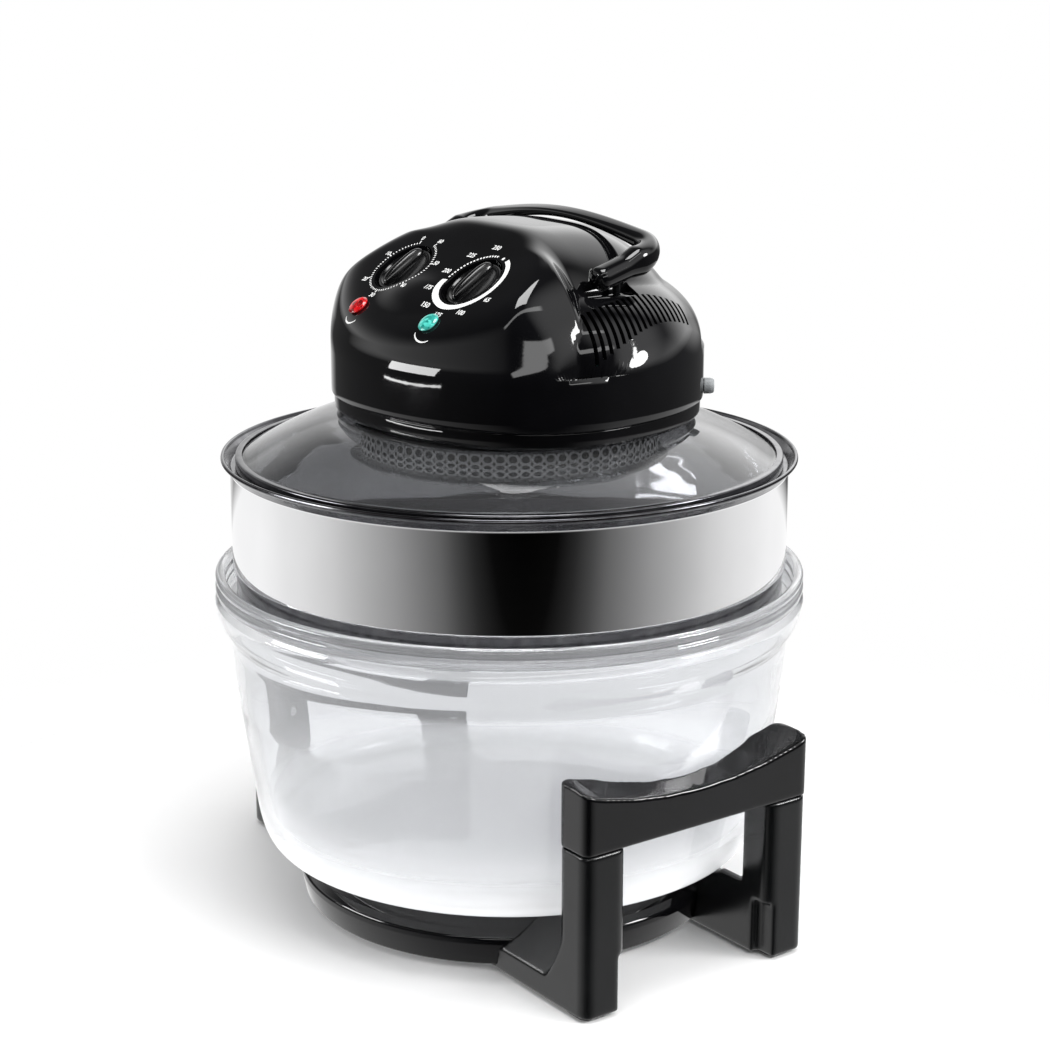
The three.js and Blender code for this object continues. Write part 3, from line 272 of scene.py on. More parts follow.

# %% [markdown]
# ## Glass
# The bowl is pressed, toughened soda-lime glass. Pressing leaves a slow waviness of about 25 mm
# in the wall, which makes reflections swim, and no colour but a trace of green in the edge. The
# thick floor holds wiping haze, so it looks milkier, and a painted glow, fading up the wall,
# lightens it. The lid is the same glass, smoked grey in the melt. Both meshes have a real wall,
# so the refraction is that of a real wall.

# %% Clear and smoked glass
bowl_glass = finish("toughened_clear_glass", "#f6f7f9", bump=(26, 0.25, 0.3, 1.0, (1, 1, 0.35)),
                    Roughness=0.0, IOR=1.5, Emission_Color=(1, 1, 1, 1))
tree, shader = shader_of(bowl_glass)
place = node(tree, "TexCoord")
upright = node(tree, "SeparateXYZ", {}, {"Vector": (place, "Object")})
for socket, top_mm, low, high in (("Transmission Weight", 75, 0.45, 0.86),
                                  ("Emission Strength", 95, 0.16, 0.0)):
    # Haze and a painted glow fade from the floor of the bowl up to top_mm above the table
    haze_and_painted_glow = node(tree, "MapRange", {"From Min": 42 * MM, "From Max": top_mm * MM, "To Min": low,
                                    "To Max": high}, {"Value": (upright, "Z")},
                 interpolation_type="SMOOTHSTEP")
    tree.links.new(haze_and_painted_glow.outputs["Result"], shader.inputs[socket])

lid_glass = finish("smoked_grey_glass", "#77787a", None, (30, 0.2, 0.25, 1.0),
                   (60, "#737476", "#7b7c7e", 1.0), Roughness=0.0, IOR=1.5,
                   Transmission_Weight=0.9)
lamp_glass = finish("quartz_lamp_glass", "#f3efe6", (5, 0.03, 0.12), IOR=1.46,
                    Transmission_Weight=0.6)
print("glass ready")

# %% [markdown]
# ## Metals
# The extender ring is bright annealed stainless steel, polished to a mirror. Its rolled bead
# and its skirt are duller, and their colour is darkened as painted shade and dark reflection.
# The guard under the lid is plain perforated sheet, which scatters more. Faint lines round the
# axis stay from rolling and spinning, about 1 mm apart.
# Zinc plating leaves the screws mottled, and stamped aluminium looks pale and soft. The
# stator's stacked sheets draw fine dark lines, and enamelled copper wire shows its turns.

# %% Steel, zinc, aluminium and copper
def metal(name, colour, rough, bump=None, tint=None, **sockets):
    """A finish with the metallic socket at 1 and the default IOR."""
    return finish(name, colour, rough, bump, tint, Metallic=1.0, **sockets)


mirror_steel = metal("mirror_polished_stainless", "#f0f0f1",
                     (1.2, 0.015, 0.04, 2.0, (0.03, 0.03, 1)), tint=(50, "#eeeeef", "#f3f3f4"))
# Painted shade and dark reflection: darker steel for the bead, skirt, lid rim and guard's inside
shade_painted_steel = metal("steel_darkened_as_painted_shade", "#5b5b5e", (4, 0.1, 0.22),
                   tint=(14, "#4c4c50", "#6a6a6c"))
guard_steel = metal("perforated_steel_sheet", "#dfe0e1", (8, 0.22, 0.38), (1.5, 0.03, 0.2))
# Light that bounces about under the lid is caught by the guard's wall: a glow stands for it
wall_steel = metal("guard_wall_steel", "#dfe0e1", (8, 0.22, 0.38), (1.5, 0.03, 0.2),
                   Emission_Color=(1, 1, 1, 1), Emission_Strength=0.42)
zinc = metal("zinc_plated_steel", "#c4c6c3", (2, 0.22, 0.4), tint=(4, "#b9bbb6", "#cfd0cf"))
aluminium = metal("stamped_aluminium", "#b9bcbf", (3, 0.26, 0.42), (0.8, 0.02, 0.25))
lamination = metal("stacked_steel_laminations", "#6a6d70", (0.8, 0.35, 0.55, 1.0, (0.05, 0.05, 1)))
copper_wire = metal("enamelled_copper_wire", "#a4562c", None,
                    (0.6, 0.1, 0.5, 0.0, (1, 1, 0.05)), Roughness=0.3)
print("metals ready")

# %% [markdown]
# ## Small finishes
# The rubber pads are matt with a fine pebble, and the silicone seal is a duller, even grey. The
# steatite lamp holders are cream and faintly rough, like unglazed china, and the moulded grey
# nylon has a low gloss. A lens is clear tinted acrylic with facets moulded inside, which break
# the light into bright and dark patches about 2 mm wide. The dial marks are pad-printing ink, a
# flat and slightly uneven white.

# %% Rubber, silicone, ceramic, nylon, lenses and ink
rubber = finish("black_rubber", "#232324", None, (0.7, 0.08, 0.4), Roughness=0.8, IOR=1.52)
silicone = finish("grey_silicone", "#5c5d5f", (5, 0.5, 0.7), IOR=1.41)
ceramic = finish("steatite_ceramic", "#d9d2c2", None, (1.0, 0.04, 0.3), Roughness=0.55, IOR=1.6)
nylon = finish("grey_nylon", "#8b8e90", None, (0.6, 0.03, 0.3), Roughness=0.5, IOR=1.53)
white_ink = finish("white_pad_print", "#e6e7e6", tint=(0.9, "#d9dad9", "#ededec"), IOR=1.5)


def acrylic_lens(name, dark, bright, glow):
    """Tinted acrylic with moulded facets, lit a little from behind."""
    made = finish(name, bright, Roughness=0.04, IOR=1.49, Emission_Strength=0.35,
                  Coat_Weight=0.5)
    tree, shader = shader_of(made)
    place = node(tree, "TexCoord")
    facets = node(tree, "TexVoronoi", {"Scale": 1 / (2.2 * MM)}, {"Vector": (place, "Object")})
    spread = node(tree, "MapRange", {"From Min": 0.1, "From Max": 0.9},
                  {"Value": (facets, "Color")})
    for socket, light in (("Base Color", bright), ("Emission Color", glow)):
        mix = node(tree, "Mix", {"A": linear(dark), "B": linear(light)},
                   {"Factor": (spread, "Result")}, data_type="RGBA")
        tree.links.new(mix.outputs["Result"], shader.inputs[socket])
    relief = node(tree, "Bump", {"Strength": 0.5, "Distance": 0.3 * MM},
                  {"Height": (spread, "Result")})
    tree.links.new(relief.outputs["Normal"], shader.inputs["Normal"])
    return made


red_acrylic = acrylic_lens("red_acrylic_lens", "#5d0508", "#c41219", "#d8141b")
green_acrylic = acrylic_lens("green_acrylic_lens", "#0a6f66", "#2fb5a6", "#8fe6dc")
print("small finishes ready")

# %% [markdown]
# ## Heights
# The oven is a stack: stand, bowl, extender ring, lid, head. The heights above the table are
# named once, in millimetres, and every piece below starts from them.

# %% The stack, in mm
bowl_z, ledge_z = 39.3, 190.0
extender_z, band_z, shelf_z = 190.3, 205.3, 262.3
lid_z, lid_top, seal_top = 263.6, 291.2, 293.0
base_z, cover_z, wall_top = 291.6, 301.4, 330.0
print("stack up to", wall_top)

# %% [markdown]
# ## The stand
# The bowl sits in a shallow plastic ring, open below, with a rounded shoulder. The ring is
# turned here with real fillets. The legs and bridge handles are moulded: their
# edges are all softened by the mould. The CAD solids have those edges sharp, so each one is
# copied, rebuilt as small even cells (voxel remesh) and relaxed, which rounds every edge by
# about 1.5 mm in the way a polished mould does.

# %% Cradle ring
cradle = turned("cradle_ring", [
    (122.5, 4, 1), (125.4, 17, 2), (125.3, 20.5, 3), (121.5, 24.2, 2), (111.5, 38.2, 3),
    (108, 39, 1), (98, 39, 1), (98, 35.8, 0.6), (107, 35.8, 2), (119, 20, 2), (119.3, 4, 0.6),
], loop=True)
dressed("cradle_ring", cradle, "stand", polished_abs, "stand_ring")


# %% Softened mouldings
def resolved(work_object):
    """The mesh that an object's modifiers leave. The object itself goes."""
    bpy.context.view_layer.update()
    shape = work_object.evaluated_get(bpy.context.evaluated_depsgraph_get())
    mesh = bpy.data.meshes.new_from_object(shape)
    bpy.data.objects.remove(work_object)
    return mesh


def moulded(node_name, material, cell=1.2, rounds=5):
    """A copy of a CAD solid with its edges rounded, in place of the solid."""
    copy = placed("work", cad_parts[node_name].data.copy())
    cells = copy.modifiers.new("cells", "REMESH")
    cells.mode = "VOXEL"
    cells.voxel_size = cell * MM
    relax = copy.modifiers.new("relax", "SMOOTH")
    relax.factor = 0.5
    relax.iterations = rounds
    dressed("moulded_" + node_name, resolved(copy), "stand", material, node_name, 80)


corners = [side + end for side in ("right_", "left_") for end in ("front", "rear")]
for corner in corners:
    moulded("leg_" + corner, satin_abs)
for side in ("right", "left"):
    moulded("grip_" + side, polished_abs, 0.8, 14)

# %% [markdown]
# ## The bowl
# Its wall sweeps in to a narrow foot, and at the top it thickens into a collar with three soft
# beads, which is where a pressed bowl is strongest. The ring of the extender stands on the
# ledge inside the collar.

# %% Glass bowl
foot_shares = [(0.80, -0.0), (0.835, 0.002), (0.867, 0.013), (0.889, 0.04), (0.906, 0.088),
               (0.919, 0.156), (0.931, 0.26), (0.951, 0.45), (0.976, 0.68), (1, 1)]
bowl_wall, wall_height = 162.5, 125.7
outer = spline([(bowl_wall * r, bowl_z + wall_height * z) for r, z in foot_shares], 4)
collar = [(164.3, 168.2), (168.0, 174.6), (170.2, 181.5), (170.9, 185.5), (170.2, 188.6),
          (169.6, 190.2), (170.5, 192.4), (170.4, 194.8), (169.3, 196.4), (170.2, 198.2),
          (170.3, 200.4), (169.2, 201.8), (167.4, 202.2)]
inside = [(bowl_wall * r - 4.8, bowl_z + wall_height * z + 6 * (1 - z))
          for r, z in foot_shares if r < 0.98]
inner = spline(inside, 4)[::-1]
bowl_profile = ([(0, bowl_z)] + outer + spline(collar, 3)
                + [(165.2, 201.4, 0.8), (164.8, ledge_z, 1.5), (155.5, ledge_z, 2),
                   (154.6, 174, 4)] + inner + [(0, inner[-1][1])])
dressed("pressed_glass_bowl", turned("bowl", bowl_profile, sides=240), "bowl",
        bowl_glass, "glass_bowl")

# %% [markdown]
# ## The extender ring
# One strip of mirror steel, welded and spun: a narrow skirt that drops into the bowl, a
# straight band, a shelf for the lid and a rolled bead at the top.

# %% Extender ring
skirt, band = 158.3, 160.1
extender = turned("extender", [
    (skirt, extender_z, 0.4), (skirt, band_z - 0.6, 1), (band, band_z + 1, 1),
    (band, shelf_z - 0.4, 2), (164.0, 266.6, 1.2), (165.5, 267.9, 1.2), (165.0, 269.7, 1.2),
    (163.6, 269.7, 0.9), (162.9, 268.0, 1), (159.6, 263.3, 1.2), (152.5, 263.3, 0.4),
    (152.5, shelf_z, 0.4), (159.1, shelf_z, 1), (159.1, band_z + 2, 1),
    (157.3, band_z, 1), (157.3, extender_z, 0.4),
], loop=True, sides=240)
dressed("spun_steel_ring", extender, "extender", mirror_steel, "extender_ring")
# Below the band and above the shelf the steel takes the darker colour of painted shade and
# reflection
extender.materials.append(shade_painted_steel)
for face in extender.polygons:
    if not band_z * MM < face.center.z < (shelf_z + 0.3) * MM:
        face.material_index = 1

# %% [markdown]
# ## The lid
# A smoked glass dome with a flat crown, cut open in the middle for the heater's neck. A thin
# steel channel is pressed on its edge. Under the head, a silicone seal and a steel clamp ring
# hold the glass.

# %% Lid glass, rim, seal and clamp
glass = 4.0
lid_slope = spline([(152.6, 268.8), (139.2, 276.2), (124.8, 282.9), (110.9, 288.1),
                    (97, 291.0), (88, lid_top)], 5)
lid_profile = ([(78, lid_top - glass, 1), (78, lid_top, 1)] + lid_slope[::-1]
               + [(155.8, 268.8, 0.8), (155.8, 268.8 - glass, 0.8)]
               + [(r, z - glass) for r, z in lid_slope])
dressed("smoked_glass_lid", turned("lid", lid_profile, loop=True, sides=240), "lid_unit",
        lid_glass, "glass_lid")

lid_rim = turned("lid_rim", [
    (153.2, lid_z, 0.3), (157, lid_z, 0.8), (157, 270.0, 1.2), (153.2, 270.0, 0.3),
    (153.2, 269.2, 0.2), (156.1, 269.1, 0.4), (156.1, 264.5, 0.4), (153.2, 264.5, 0.2),
], loop=True, sides=240)
# The rim's channel takes the darker steel: its colour is painted shade and dark reflection
dressed("pressed_lid_rim", lid_rim, "lid_unit", shade_painted_steel, "lid_rim")
lid_seal = turned("seal", [(78.5, 291.5, 0.4), (86, 291.5, 0.6), (86, seal_top, 0.6),
                           (78.5, seal_top, 0.4)], loop=True)
dressed("silicone_seal", lid_seal, "lid_unit", silicone, "lid_seal")
clamp = turned("clamp", [(66, 285.4, 0.3), (90, 285.4, 0.6), (90, 286.9, 0.4),
                         (66, 286.9, 0.3)], loop=True)
dressed("steel_clamp_ring", clamp, "lid_unit", guard_steel, "clamp_ring")

# %% [markdown]
# ## The guard basket
# Below the lid hangs a perforated steel cup that keeps hands and food off the lamp and fan.
# The floor's round holes of 3.4 mm stand 5.5 mm apart. The wall's are ovals of 4.6 by 2.9 mm.
# Each hole is one small patch: a ring of points on the hole joined to points on the patch's
# edge. Patches repeat round the wall and over the floor, then the sheet gets its thickness.

# %% Pierced sheet
def pierced(name, place_at, columns, rows_up, hole_share, points=16):
    """A sheet of square patches, each with a round hole, placed by place_at(u, v)."""
    vertices, faces = [], []
    for i in range(columns):
        for j in range(rows_up):
            start = len(vertices)
            for k in range(points):
                angle = 2 * pi * (k + 0.5) / points
                c, s = cos(angle), sin(angle)
                reach = 0.5 / max(abs(c), abs(s))
                for share in (reach, 0.5 * hole_share):
                    u = (i + 0.5 + c * share) / columns
                    v = (j + 0.5 + s * share) / rows_up
                    vertices.append(place_at(u, v))
            for k in range(points):
                a, b = start + 2 * k, start + 2 * ((k + 1) % points)
                faces.append((a, b, b + 1, a + 1))
    return meshed(name, vertices, faces, 0.03, outward=False)


def thickened(mesh, sheet):
    """The sheet with a thickness in mm, as a mesh of its own."""
    copy = placed("work", mesh)
    solid = copy.modifiers.new("sheet", "SOLIDIFY")
    solid.thickness = sheet * MM
    solid.offset = 0
    return resolved(copy)


# %% Guard: wall, floor, lip and collar
guard_top, guard_floor, guard_wall = 285.1, 267.5, 84.0
pitch, guard_sheet = 5.5, 0.8


def on_wall(u, v):
    """A point of the guard's wall."""
    z = guard_floor + 3.6 + v * (guard_top - guard_floor - 4.8)
    return *polar(guard_wall, 2 * pi * u), z


wall_mesh = thickened(pierced("guard_wall", on_wall, 78, 3, 0.68, 10), guard_sheet)
dressed("guard_wall", wall_mesh, "lid_unit", wall_steel, "guard_basket")
# The wall's inner faces take the darker steel: painted shade, where the head shades the guard
wall_mesh.materials.append(shade_painted_steel)
for face in wall_mesh.polygons:
    if face.normal.xy.dot(face.center.xy.normalized()) < 0.5:
        face.material_index = 1


def on_floor(start):
    """Places a ring-shaped band of the guard's floor, one pitch wide."""
    return lambda u, v: (*polar(start + v * pitch, 2 * pi * u), guard_floor + 0.6)


for k in range(13):
    start = 12 + k * pitch
    count = round(2 * pi * (start + 2.7) / pitch)
    floor_band = thickened(pierced("guard_band", on_floor(start), count, 1, 0.62, 8),
                           guard_sheet)
    dressed(f"guard_floor_{k + 1}", floor_band, "lid_unit", guard_steel)
guard_hub = turned("guard_hub", [(0, 267.7), (12.1, 267.7), (12.1, 268.5), (0, 268.5)], sides=60)
dressed("guard_hub", guard_hub, "lid_unit", guard_steel)
for name, profile in (
        ("guard_lip", [(83.4, 267.7, 0.3), (90, 267.7, 1), (90.8, 269, 1), (90, 270.6, 1),
                       (84, 271.2, 0.5), (83.6, 271.2, 0.2), (83.6, 270.4, 0.3),
                       (89, 269.9, 0.8), (89.2, 268.6, 0.5), (83.4, 268.5, 0.2)]),
        ("guard_collar", [(70, 284.1, 0.2), (83.7, 284.0, 0.6), (83.8, 283.7), (84.4, 283.7),
                          (84.4, guard_top, 0.7), (70, guard_top, 0.2)])):
    dressed(name, turned(name, profile, loop=True), "lid_unit", guard_steel)

# %% [markdown]
# ## The lamp
# The heater is a halogen lamp bent into an open ring, 9 mm thick, between two ceramic holders.
# It is swept here with a round section, and its ends are pinched flat as quartz tubes are.

# %% Halogen lamp
lamp_ring, lamp_z, tube, lamp_rows = 60, 277.2, 4.5, []
for k in range(97):
    share = k / 96
    angle = radians(302 + share * 296)
    pinch = min(1, 0.45 + min(share, 1 - share) * 18)
    lamp_rows.append([(*polar(lamp_ring + tube * cos(t), angle), lamp_z + tube * pinch * sin(t))
                      for t in whole_turn(24)])
dressed("quartz_lamp", skin("lamp", lamp_rows, capped=True), "lid_unit",
        lamp_glass, "halogen_tube")

# %% [markdown]
# ## The head's outline
# Seen from above the head is an egg, a superellipse whose front half is shorter than its rear
# half. The dome is two shapes at once: low round shoulders, and a crown whose front is cut by
# the slope that carries the dials. These functions give the surface at any point.

# %% Plan of the head
head_x, head_y, head_front, head_back, egg = 110.0, -12.0, 82.0, 125.0, 2.05


def egg_share(x, y, inset=0.0, centre_y=head_y, front=head_front, back=head_back):
    """0 in the middle of an egg-shaped plan and 1 on its edge."""
    reach = (front if y < centre_y else back) - inset
    value = abs(x / (head_x - inset)) ** egg + abs((y - centre_y) / reach) ** egg
    return min(1.0, value ** (1 / egg))


def egg_point(angle, inset=0.0, scale=1.0):
    """A point of the head's outline, moved in by an inset and scaled about its middle."""
    c, s = cos(angle), sin(angle)
    reach = (head_front if s < 0 else head_back) - inset
    x = (head_x - inset) * copysign(abs(c) ** (2 / egg), c)
    y = reach * copysign(abs(s) ** (2 / egg), s)
    return x * scale, head_y + y * scale


print("head's outline starts at", egg_point(0))


# %% Height of the head
def eased(value, out, up):
    """1 in the middle, falling to 0 at 1: out sets how late, up how steeply."""
    return max(0.0, 1 - abs(value) ** out) ** up


def smoothly(value):
    """0 to 1 with soft ends."""
    value = min(1.0, max(0.0, value))
    return value * value * (3 - 2 * value)


slope, dial_y = radians(34), -49.4
crown_height, shoulder_height, panel_height = 70.5, 52.0, 44.7


def dome(x, y, inset=0.0):
    """Height of the head above the table, inset mm inside its skin."""
    plan, low = egg_share(x, y, inset), egg_share(x, y, inset, 8, 92, 96)
    along = y / (104 - inset)
    arch = eased(x / (102 - inset), 3.5, 0.57)
    arch *= eased(along, 2, 0.6) if along < 0 else eased(along, 4.3, 0.9)
    panel = panel_height + (y - dial_y) * tan(slope) - inset / cos(slope)
    crown = (crown_height - inset) * arch
    lowest, gap = min(crown, panel), abs(crown - panel)
    body = max(0.0, lowest - 1.5 * log1p(exp(-gap / 1.5)))
    turn = smoothly((y + 26) / 14)
    a = body * (eased(plan, 24, 0.5) * (1 - turn) + eased(plan, 4.05, 0.8) * turn)
    b = (shoulder_height - inset) * eased(low, 2.4, 0.4)
    soft = 1.6 * min(1.0, max(a, b) / 12)
    blend = max(soft - abs(a - b), 0) / soft if soft > 0 else 0
    return wall_top + max(a, b) + blend * blend * soft / 4


def dome_normal(x, y, step=0.25):
    """The way the dome faces over a point of the plan."""
    dx = dome(x + step, y) - dome(x - step, y)
    dy = dome(x, y + step) - dome(x, y - step)
    return Vector((-dx, -dy, 2 * step)).normalized()


print("crown height", round(dome(0, 10), 1))

# %% [markdown]
# ## The head's shell
# The shell is moulded in one piece with the wells for the dials, the pockets for the carry
# handle, the lamp holes and the thin upright vents in both shoulders. It is made the way a
# machinist would describe it: a solid dome less its hollow, with wells and pockets added inside
# and every opening cut through. The booleans leave ragged normals on a glossy surface, so at
# the end each corner of the outer skin gets the exact normal of the dome.

# %% Dome solids
SIDES = 300


def dome_solid(inset, bottom, steps, sides):
    """A closed dome over the head's outline."""
    turns = whole_turn(sides)
    foot = 0 if inset else 0.8
    rows = [[(0, head_y, bottom)] * sides]
    rows.append([(*egg_point(a, inset + foot), bottom) for a in turns])
    if foot:
        rows.append([(*egg_point(a, inset + 0.2), bottom + 0.25) for a in turns])
        rows.append([(*egg_point(a, inset), bottom + 0.9) for a in turns])
    for k in range(1, 8):
        z = bottom + 1 + (wall_top - bottom - 1) * k / 7
        rows.append([(*egg_point(a, inset), z) for a in turns])
    for k in range(1, steps + 1):
        scale = cos(pi / 2 * (k / steps) ** 1.25)
        row = []
        for a in turns:
            x, y = egg_point(a, inset, scale)
            row.append((x, y, dome(x, y, inset)))
        rows.append(row)
    return skin("dome", rows)


def combined(base, tool, operation):
    """The mesh that a boolean of two meshes leaves."""
    first, second = placed("work", base), placed("work", tool)
    cut = first.modifiers.new("cut", "BOOLEAN")
    cut.operation = operation
    cut.object = second
    cut.solver = "MANIFOLD"
    made = resolved(first)
    bpy.data.objects.remove(second)
    print(operation.lower(), len(made.polygons), "faces")
    return made


def joined(meshes):
    """Several meshes as one."""
    work = bmesh.new()
    for mesh in meshes:
        work.from_mesh(mesh)
    out = bpy.data.meshes.new("joined")
    work.to_mesh(out)
    work.free()
    return out


def block(low, high):
    """A closed box between two corners in mm."""
    (x0, y0, z0), (x1, y1, z1) = low, high
    rows = [[(x0, y0, z), (x1, y0, z), (x1, y1, z), (x0, y1, z)] for z in (z0, z1)]
    return skin("block", rows, capped=True)


# %% Places on the dome
dial_x, lamp_x, lamp_y = 33.8, 35.0, -78.4
dial_axis = Vector((0, -sin(slope), cos(slope)))
dial_up = Vector((0, cos(slope), sin(slope)))


def on_dial(sx, u, v, along):
    """A point by its place on a dial's face, and its distance along the dial's axis."""
    centre = Vector((sx * dial_x, dial_y, dome(sx * dial_x, dial_y)))
    return centre + Vector((u, 0, 0)) + dial_up * v + dial_axis * along


def aimed_rows(profile, sides, spot):
    """Rows of a profile turned about an axis, placed by spot(u, v, along)."""
    return [[spot(*polar(r, t), z) for t in whole_turn(sides)] for r, z in profile]


def dial_body(sx, profile, sides=96):
    """A profile turned about a dial's axis."""
    return skin("dial", aimed_rows(profile, sides, lambda u, v, h: on_dial(sx, u, v, h)))


def lamp_spot(sx):
    """Placement about the axis of an indicator lamp."""
    x, y = sx * lamp_x, lamp_y
    normal = dome_normal(x, y, 2.6)
    side = Vector((1, 0, 0)).cross(normal).normalized()
    across = side.cross(normal) * -1
    centre = Vector((x, y, dome(x, y)))
    return lambda u, v, h: centre + across * u + side * v + normal * h


print("dial axis", tuple(round(c, 3) for c in dial_axis))

# %% Wells, lamp holes, vents and pockets
well_bodies, well_cuts, lamp_cuts = [], [], []
for sx in (-1, 1):
    well_bodies.append(dial_body(sx, [(0, -9.2), (20.7, -9.2), (20.7, 7), (0, 7)]))
    well_cuts.append(dial_body(sx, filleted([(0, -7), (18.5, -7, 1.2), (18.5, 0.1), (18.5, 21),
                                             (0, 21)])))
    lamp_cuts.append(skin("lamp_hole", aimed_rows([(0, -8), (5.1, -8), (5.1, 8), (0, 8)], 32,
                                                  lamp_spot(sx))))


def along_vents(first, middle, last, share):
    """A smooth line through three heights along the row of vents."""
    rest = 1 - share
    return (first * rest * rest + (4 * middle - first - last) * share * rest
            + last * share * share)


vent_cuts = []
for i in range(18):
    y = -19 + i * 4.25
    low = wall_top + shoulder_height * along_vents(0.11, 0.43, 0.36, i / 17)
    high = wall_top + shoulder_height * along_vents(0.60, 0.71, 0.66, i / 17)
    vent_cuts += [block((x, y - 1.1, low), (x + 32, y + 1.1, high)) for x in (84, -116)]
pocket_bodies = [block((x, -10.2, 364.8), (x + 29.9, 27.2, 420)) for x in (64.55, -94.45)]
pocket_cuts = [block((x, -8, 367), (x + 17.5, 25, 440)) for x in (74.75, -92.25)]
print(len(vent_cuts), "vents,", len(pocket_cuts), "pockets")

# %% Shell
outside = dome_solid(0, cover_z, 110, SIDES)
hollow = dome_solid(2.6, cover_z - 3, 24, 120)
fittings = combined(outside.copy(), joined(well_bodies + pocket_bodies), "INTERSECT")
shell = combined(outside, hollow, "DIFFERENCE")
shell = combined(shell, fittings, "UNION")
shell = combined(shell, joined(well_cuts + lamp_cuts + pocket_cuts), "DIFFERENCE")
shell = combined(shell, joined(vent_cuts), "DIFFERENCE")
dressed("domed_head_cover", shell, "lid_unit", polished_abs, "head_cover", 30)

# %% Exact normals on the outer skin
def skin_normal(x, y, z):
    """Normal of the head's skin: the wall's low down, the dome's higher up."""
    reach = head_front if y < head_y else head_back
    wall = Vector([copysign(abs(along / full) ** (egg - 1), along) / full
                   for along, full in ((x, head_x), (y - head_y, reach))] + [0]).normalized()
    inward = min(1.0, 0.975 / max(egg_share(x, y), 0.1))
    top = dome_normal(x * inward, head_y + (y - head_y) * inward)
    return wall.lerp(top, smoothly((z - wall_top + 6) / 14)).normalized()


corner_normals = [Vector(n.vector) for n in shell.corner_normals]
exact = 0
for face in shell.polygons:
    for corner in face.loop_indices:
        x, y, z = shell.vertices[shell.loops[corner].vertex_index].co / MM
        out = egg_share(x, y)
        if z < cover_z + 2 or (out < 0.985 and abs(z - dome(x, y)) > 0.03):
            continue
        if z <= wall_top and out < 0.998:
            continue
        normal = skin_normal(x, y, z)
        if face.normal.dot(normal) > 0.5:
            corner_normals[corner] = normal
            exact += 1
shell.normals_split_custom_set(corner_normals)
print(exact, "exact normals")

# %% [markdown]
# ## The head's base
# Under the shell is a separate base: a low skirt that follows the outline 1.6 mm further in, so
# a thin seam shows all round, a floor, and a neck that goes down through the lid's hole.

# %% Head base
turns = whole_turn(SIDES)
skirt_line = filleted([(3.6, base_z, 1), (1.7, base_z + 1.8, 1.4), (1.6, 301.0, 0.5),
                       (4.2, 301.0, 0.3), (4.2, 296, 0.5), (5.9, 292, 0.5)], loop=True)
skirt_rows = [[(*egg_point(a, inset), z) for a in turns] for inset, z in skirt_line]
dressed("head_base_skirt", skin("base", skirt_rows, loop=True), "lid_unit",
        polished_abs, "head_base")
floor_low, floor_top = 293.3, 295.9
floor_rows = [[(*egg_point(a, 4.3), floor_top) for a in turns],
              [(*polar(40, a), floor_top) for a in turns],
              [(*polar(40, a), floor_low) for a in turns],
              [(*egg_point(a, 4.3), floor_low) for a in turns]]
dressed("head_floor", skin("floor", floor_rows, loop=True), "lid_unit", satin_abs)
neck = turned("neck", [(70, 287.2, 0.5), (76.5, 287.2, 0.8), (76.5, 293.2), (70, 293.2)],
              loop=True)
dressed("head_neck", neck, "lid_unit", satin_abs)

# %% [markdown]
# ## Dials
# Each knob sinks in its well: a polished disc with a raised wing for the fingers. The wing is
# lofted along its length, wide and high in the middle, with rounded edges. A white line on the
# wing and a dot on the disc's edge point at the marks.

# %% Knobs
knob_floor = -6.4


def wing_rows(sx):
    """Sections of a knob's wing from one end to the other."""
    rows = []
    for k in range(33):
        t = -1 + k / 16
        reach = 15.4 * sin(t * pi / 2) if abs(t) < 1 else 15.4 * t
        ease = max(0.0, 1 - abs(t) ** 5) ** 0.5
        half = (2.1 + 1.9 * (1 - t * t)) * (0.35 + 0.65 * ease)
        height = (6.2 + 3.8 * (1 - abs(t) ** 2.4)) * (0.55 + 0.45 * ease)
        row = []
        for i in range(21):
            angle = pi * i / 20
            c, s = cos(angle), sin(angle)
            u = half * copysign(abs(c) ** 0.62, c) * (1 - 0.22 * s)
            row.append(on_dial(sx, u, reach, knob_floor + 0.6 + height * s ** 0.62))
        rows.append(row)
    return rows


for sx, name in ((-1, "timer"), (1, "temperature")):
    disc = dial_body(sx, filleted([(0, knob_floor), (16.8, knob_floor), (16.8, -1.4, 1.3),
                                   (14.9, -1.0, 0.8), (13.5, -1.9, 0.8), (0, -1.6)]))
    wing = skin("wing", wing_rows(sx), capped=True)
    dressed(name + "_knob_polished", joined([disc, wing]), name + "_dial",
            knob_abs, name + "_knob")
    line_rows = [[on_dial(sx, u, v, knob_floor + 10.75 - 0.02 * v * v) for u in (-0.5, 0.5)]
                 for v in (-11.5, -10, -8.5, -7, -5.5)]
    stripe = thickened(skin("stripe", line_rows, ring=False), 0.15)
    dressed(name + "_pointer", stripe, name + "_dial", white_ink)

# %% [markdown]
# ## Dial marks
# The marks are pad-printed on the slope. They are drawn flat on the dial's face and then laid
# on the dome along the dial's axis, so that they follow its curve.

# %% Laying marks on the dome
def laid(sx, u, v, lift=0.1):
    """The point of the dome's skin that lies under a point of a dial's face."""
    spot = on_dial(sx, u, v, 0)
    for _ in range(6):
        spot = spot + dial_axis * ((dome(spot.x, spot.y) - spot.z) * cos(slope))
    return spot + dial_axis * lift


def stroke(sx, points, widths):
    """A printed line through points (u, v), with its width at each point."""
    rows = []
    for i, (u, v) in enumerate(points):
        before, after = points[max(i - 1, 0)], points[min(i + 1, len(points) - 1)]
        run = Vector((after[0] - before[0], after[1] - before[1])).normalized()
        half = widths[i] / 2
        rows.append([laid(sx, u + run.y * side * half, v - run.x * side * half)
                     for side in (-1, 0, 1)])
    return skin("stroke", rows, ring=False)


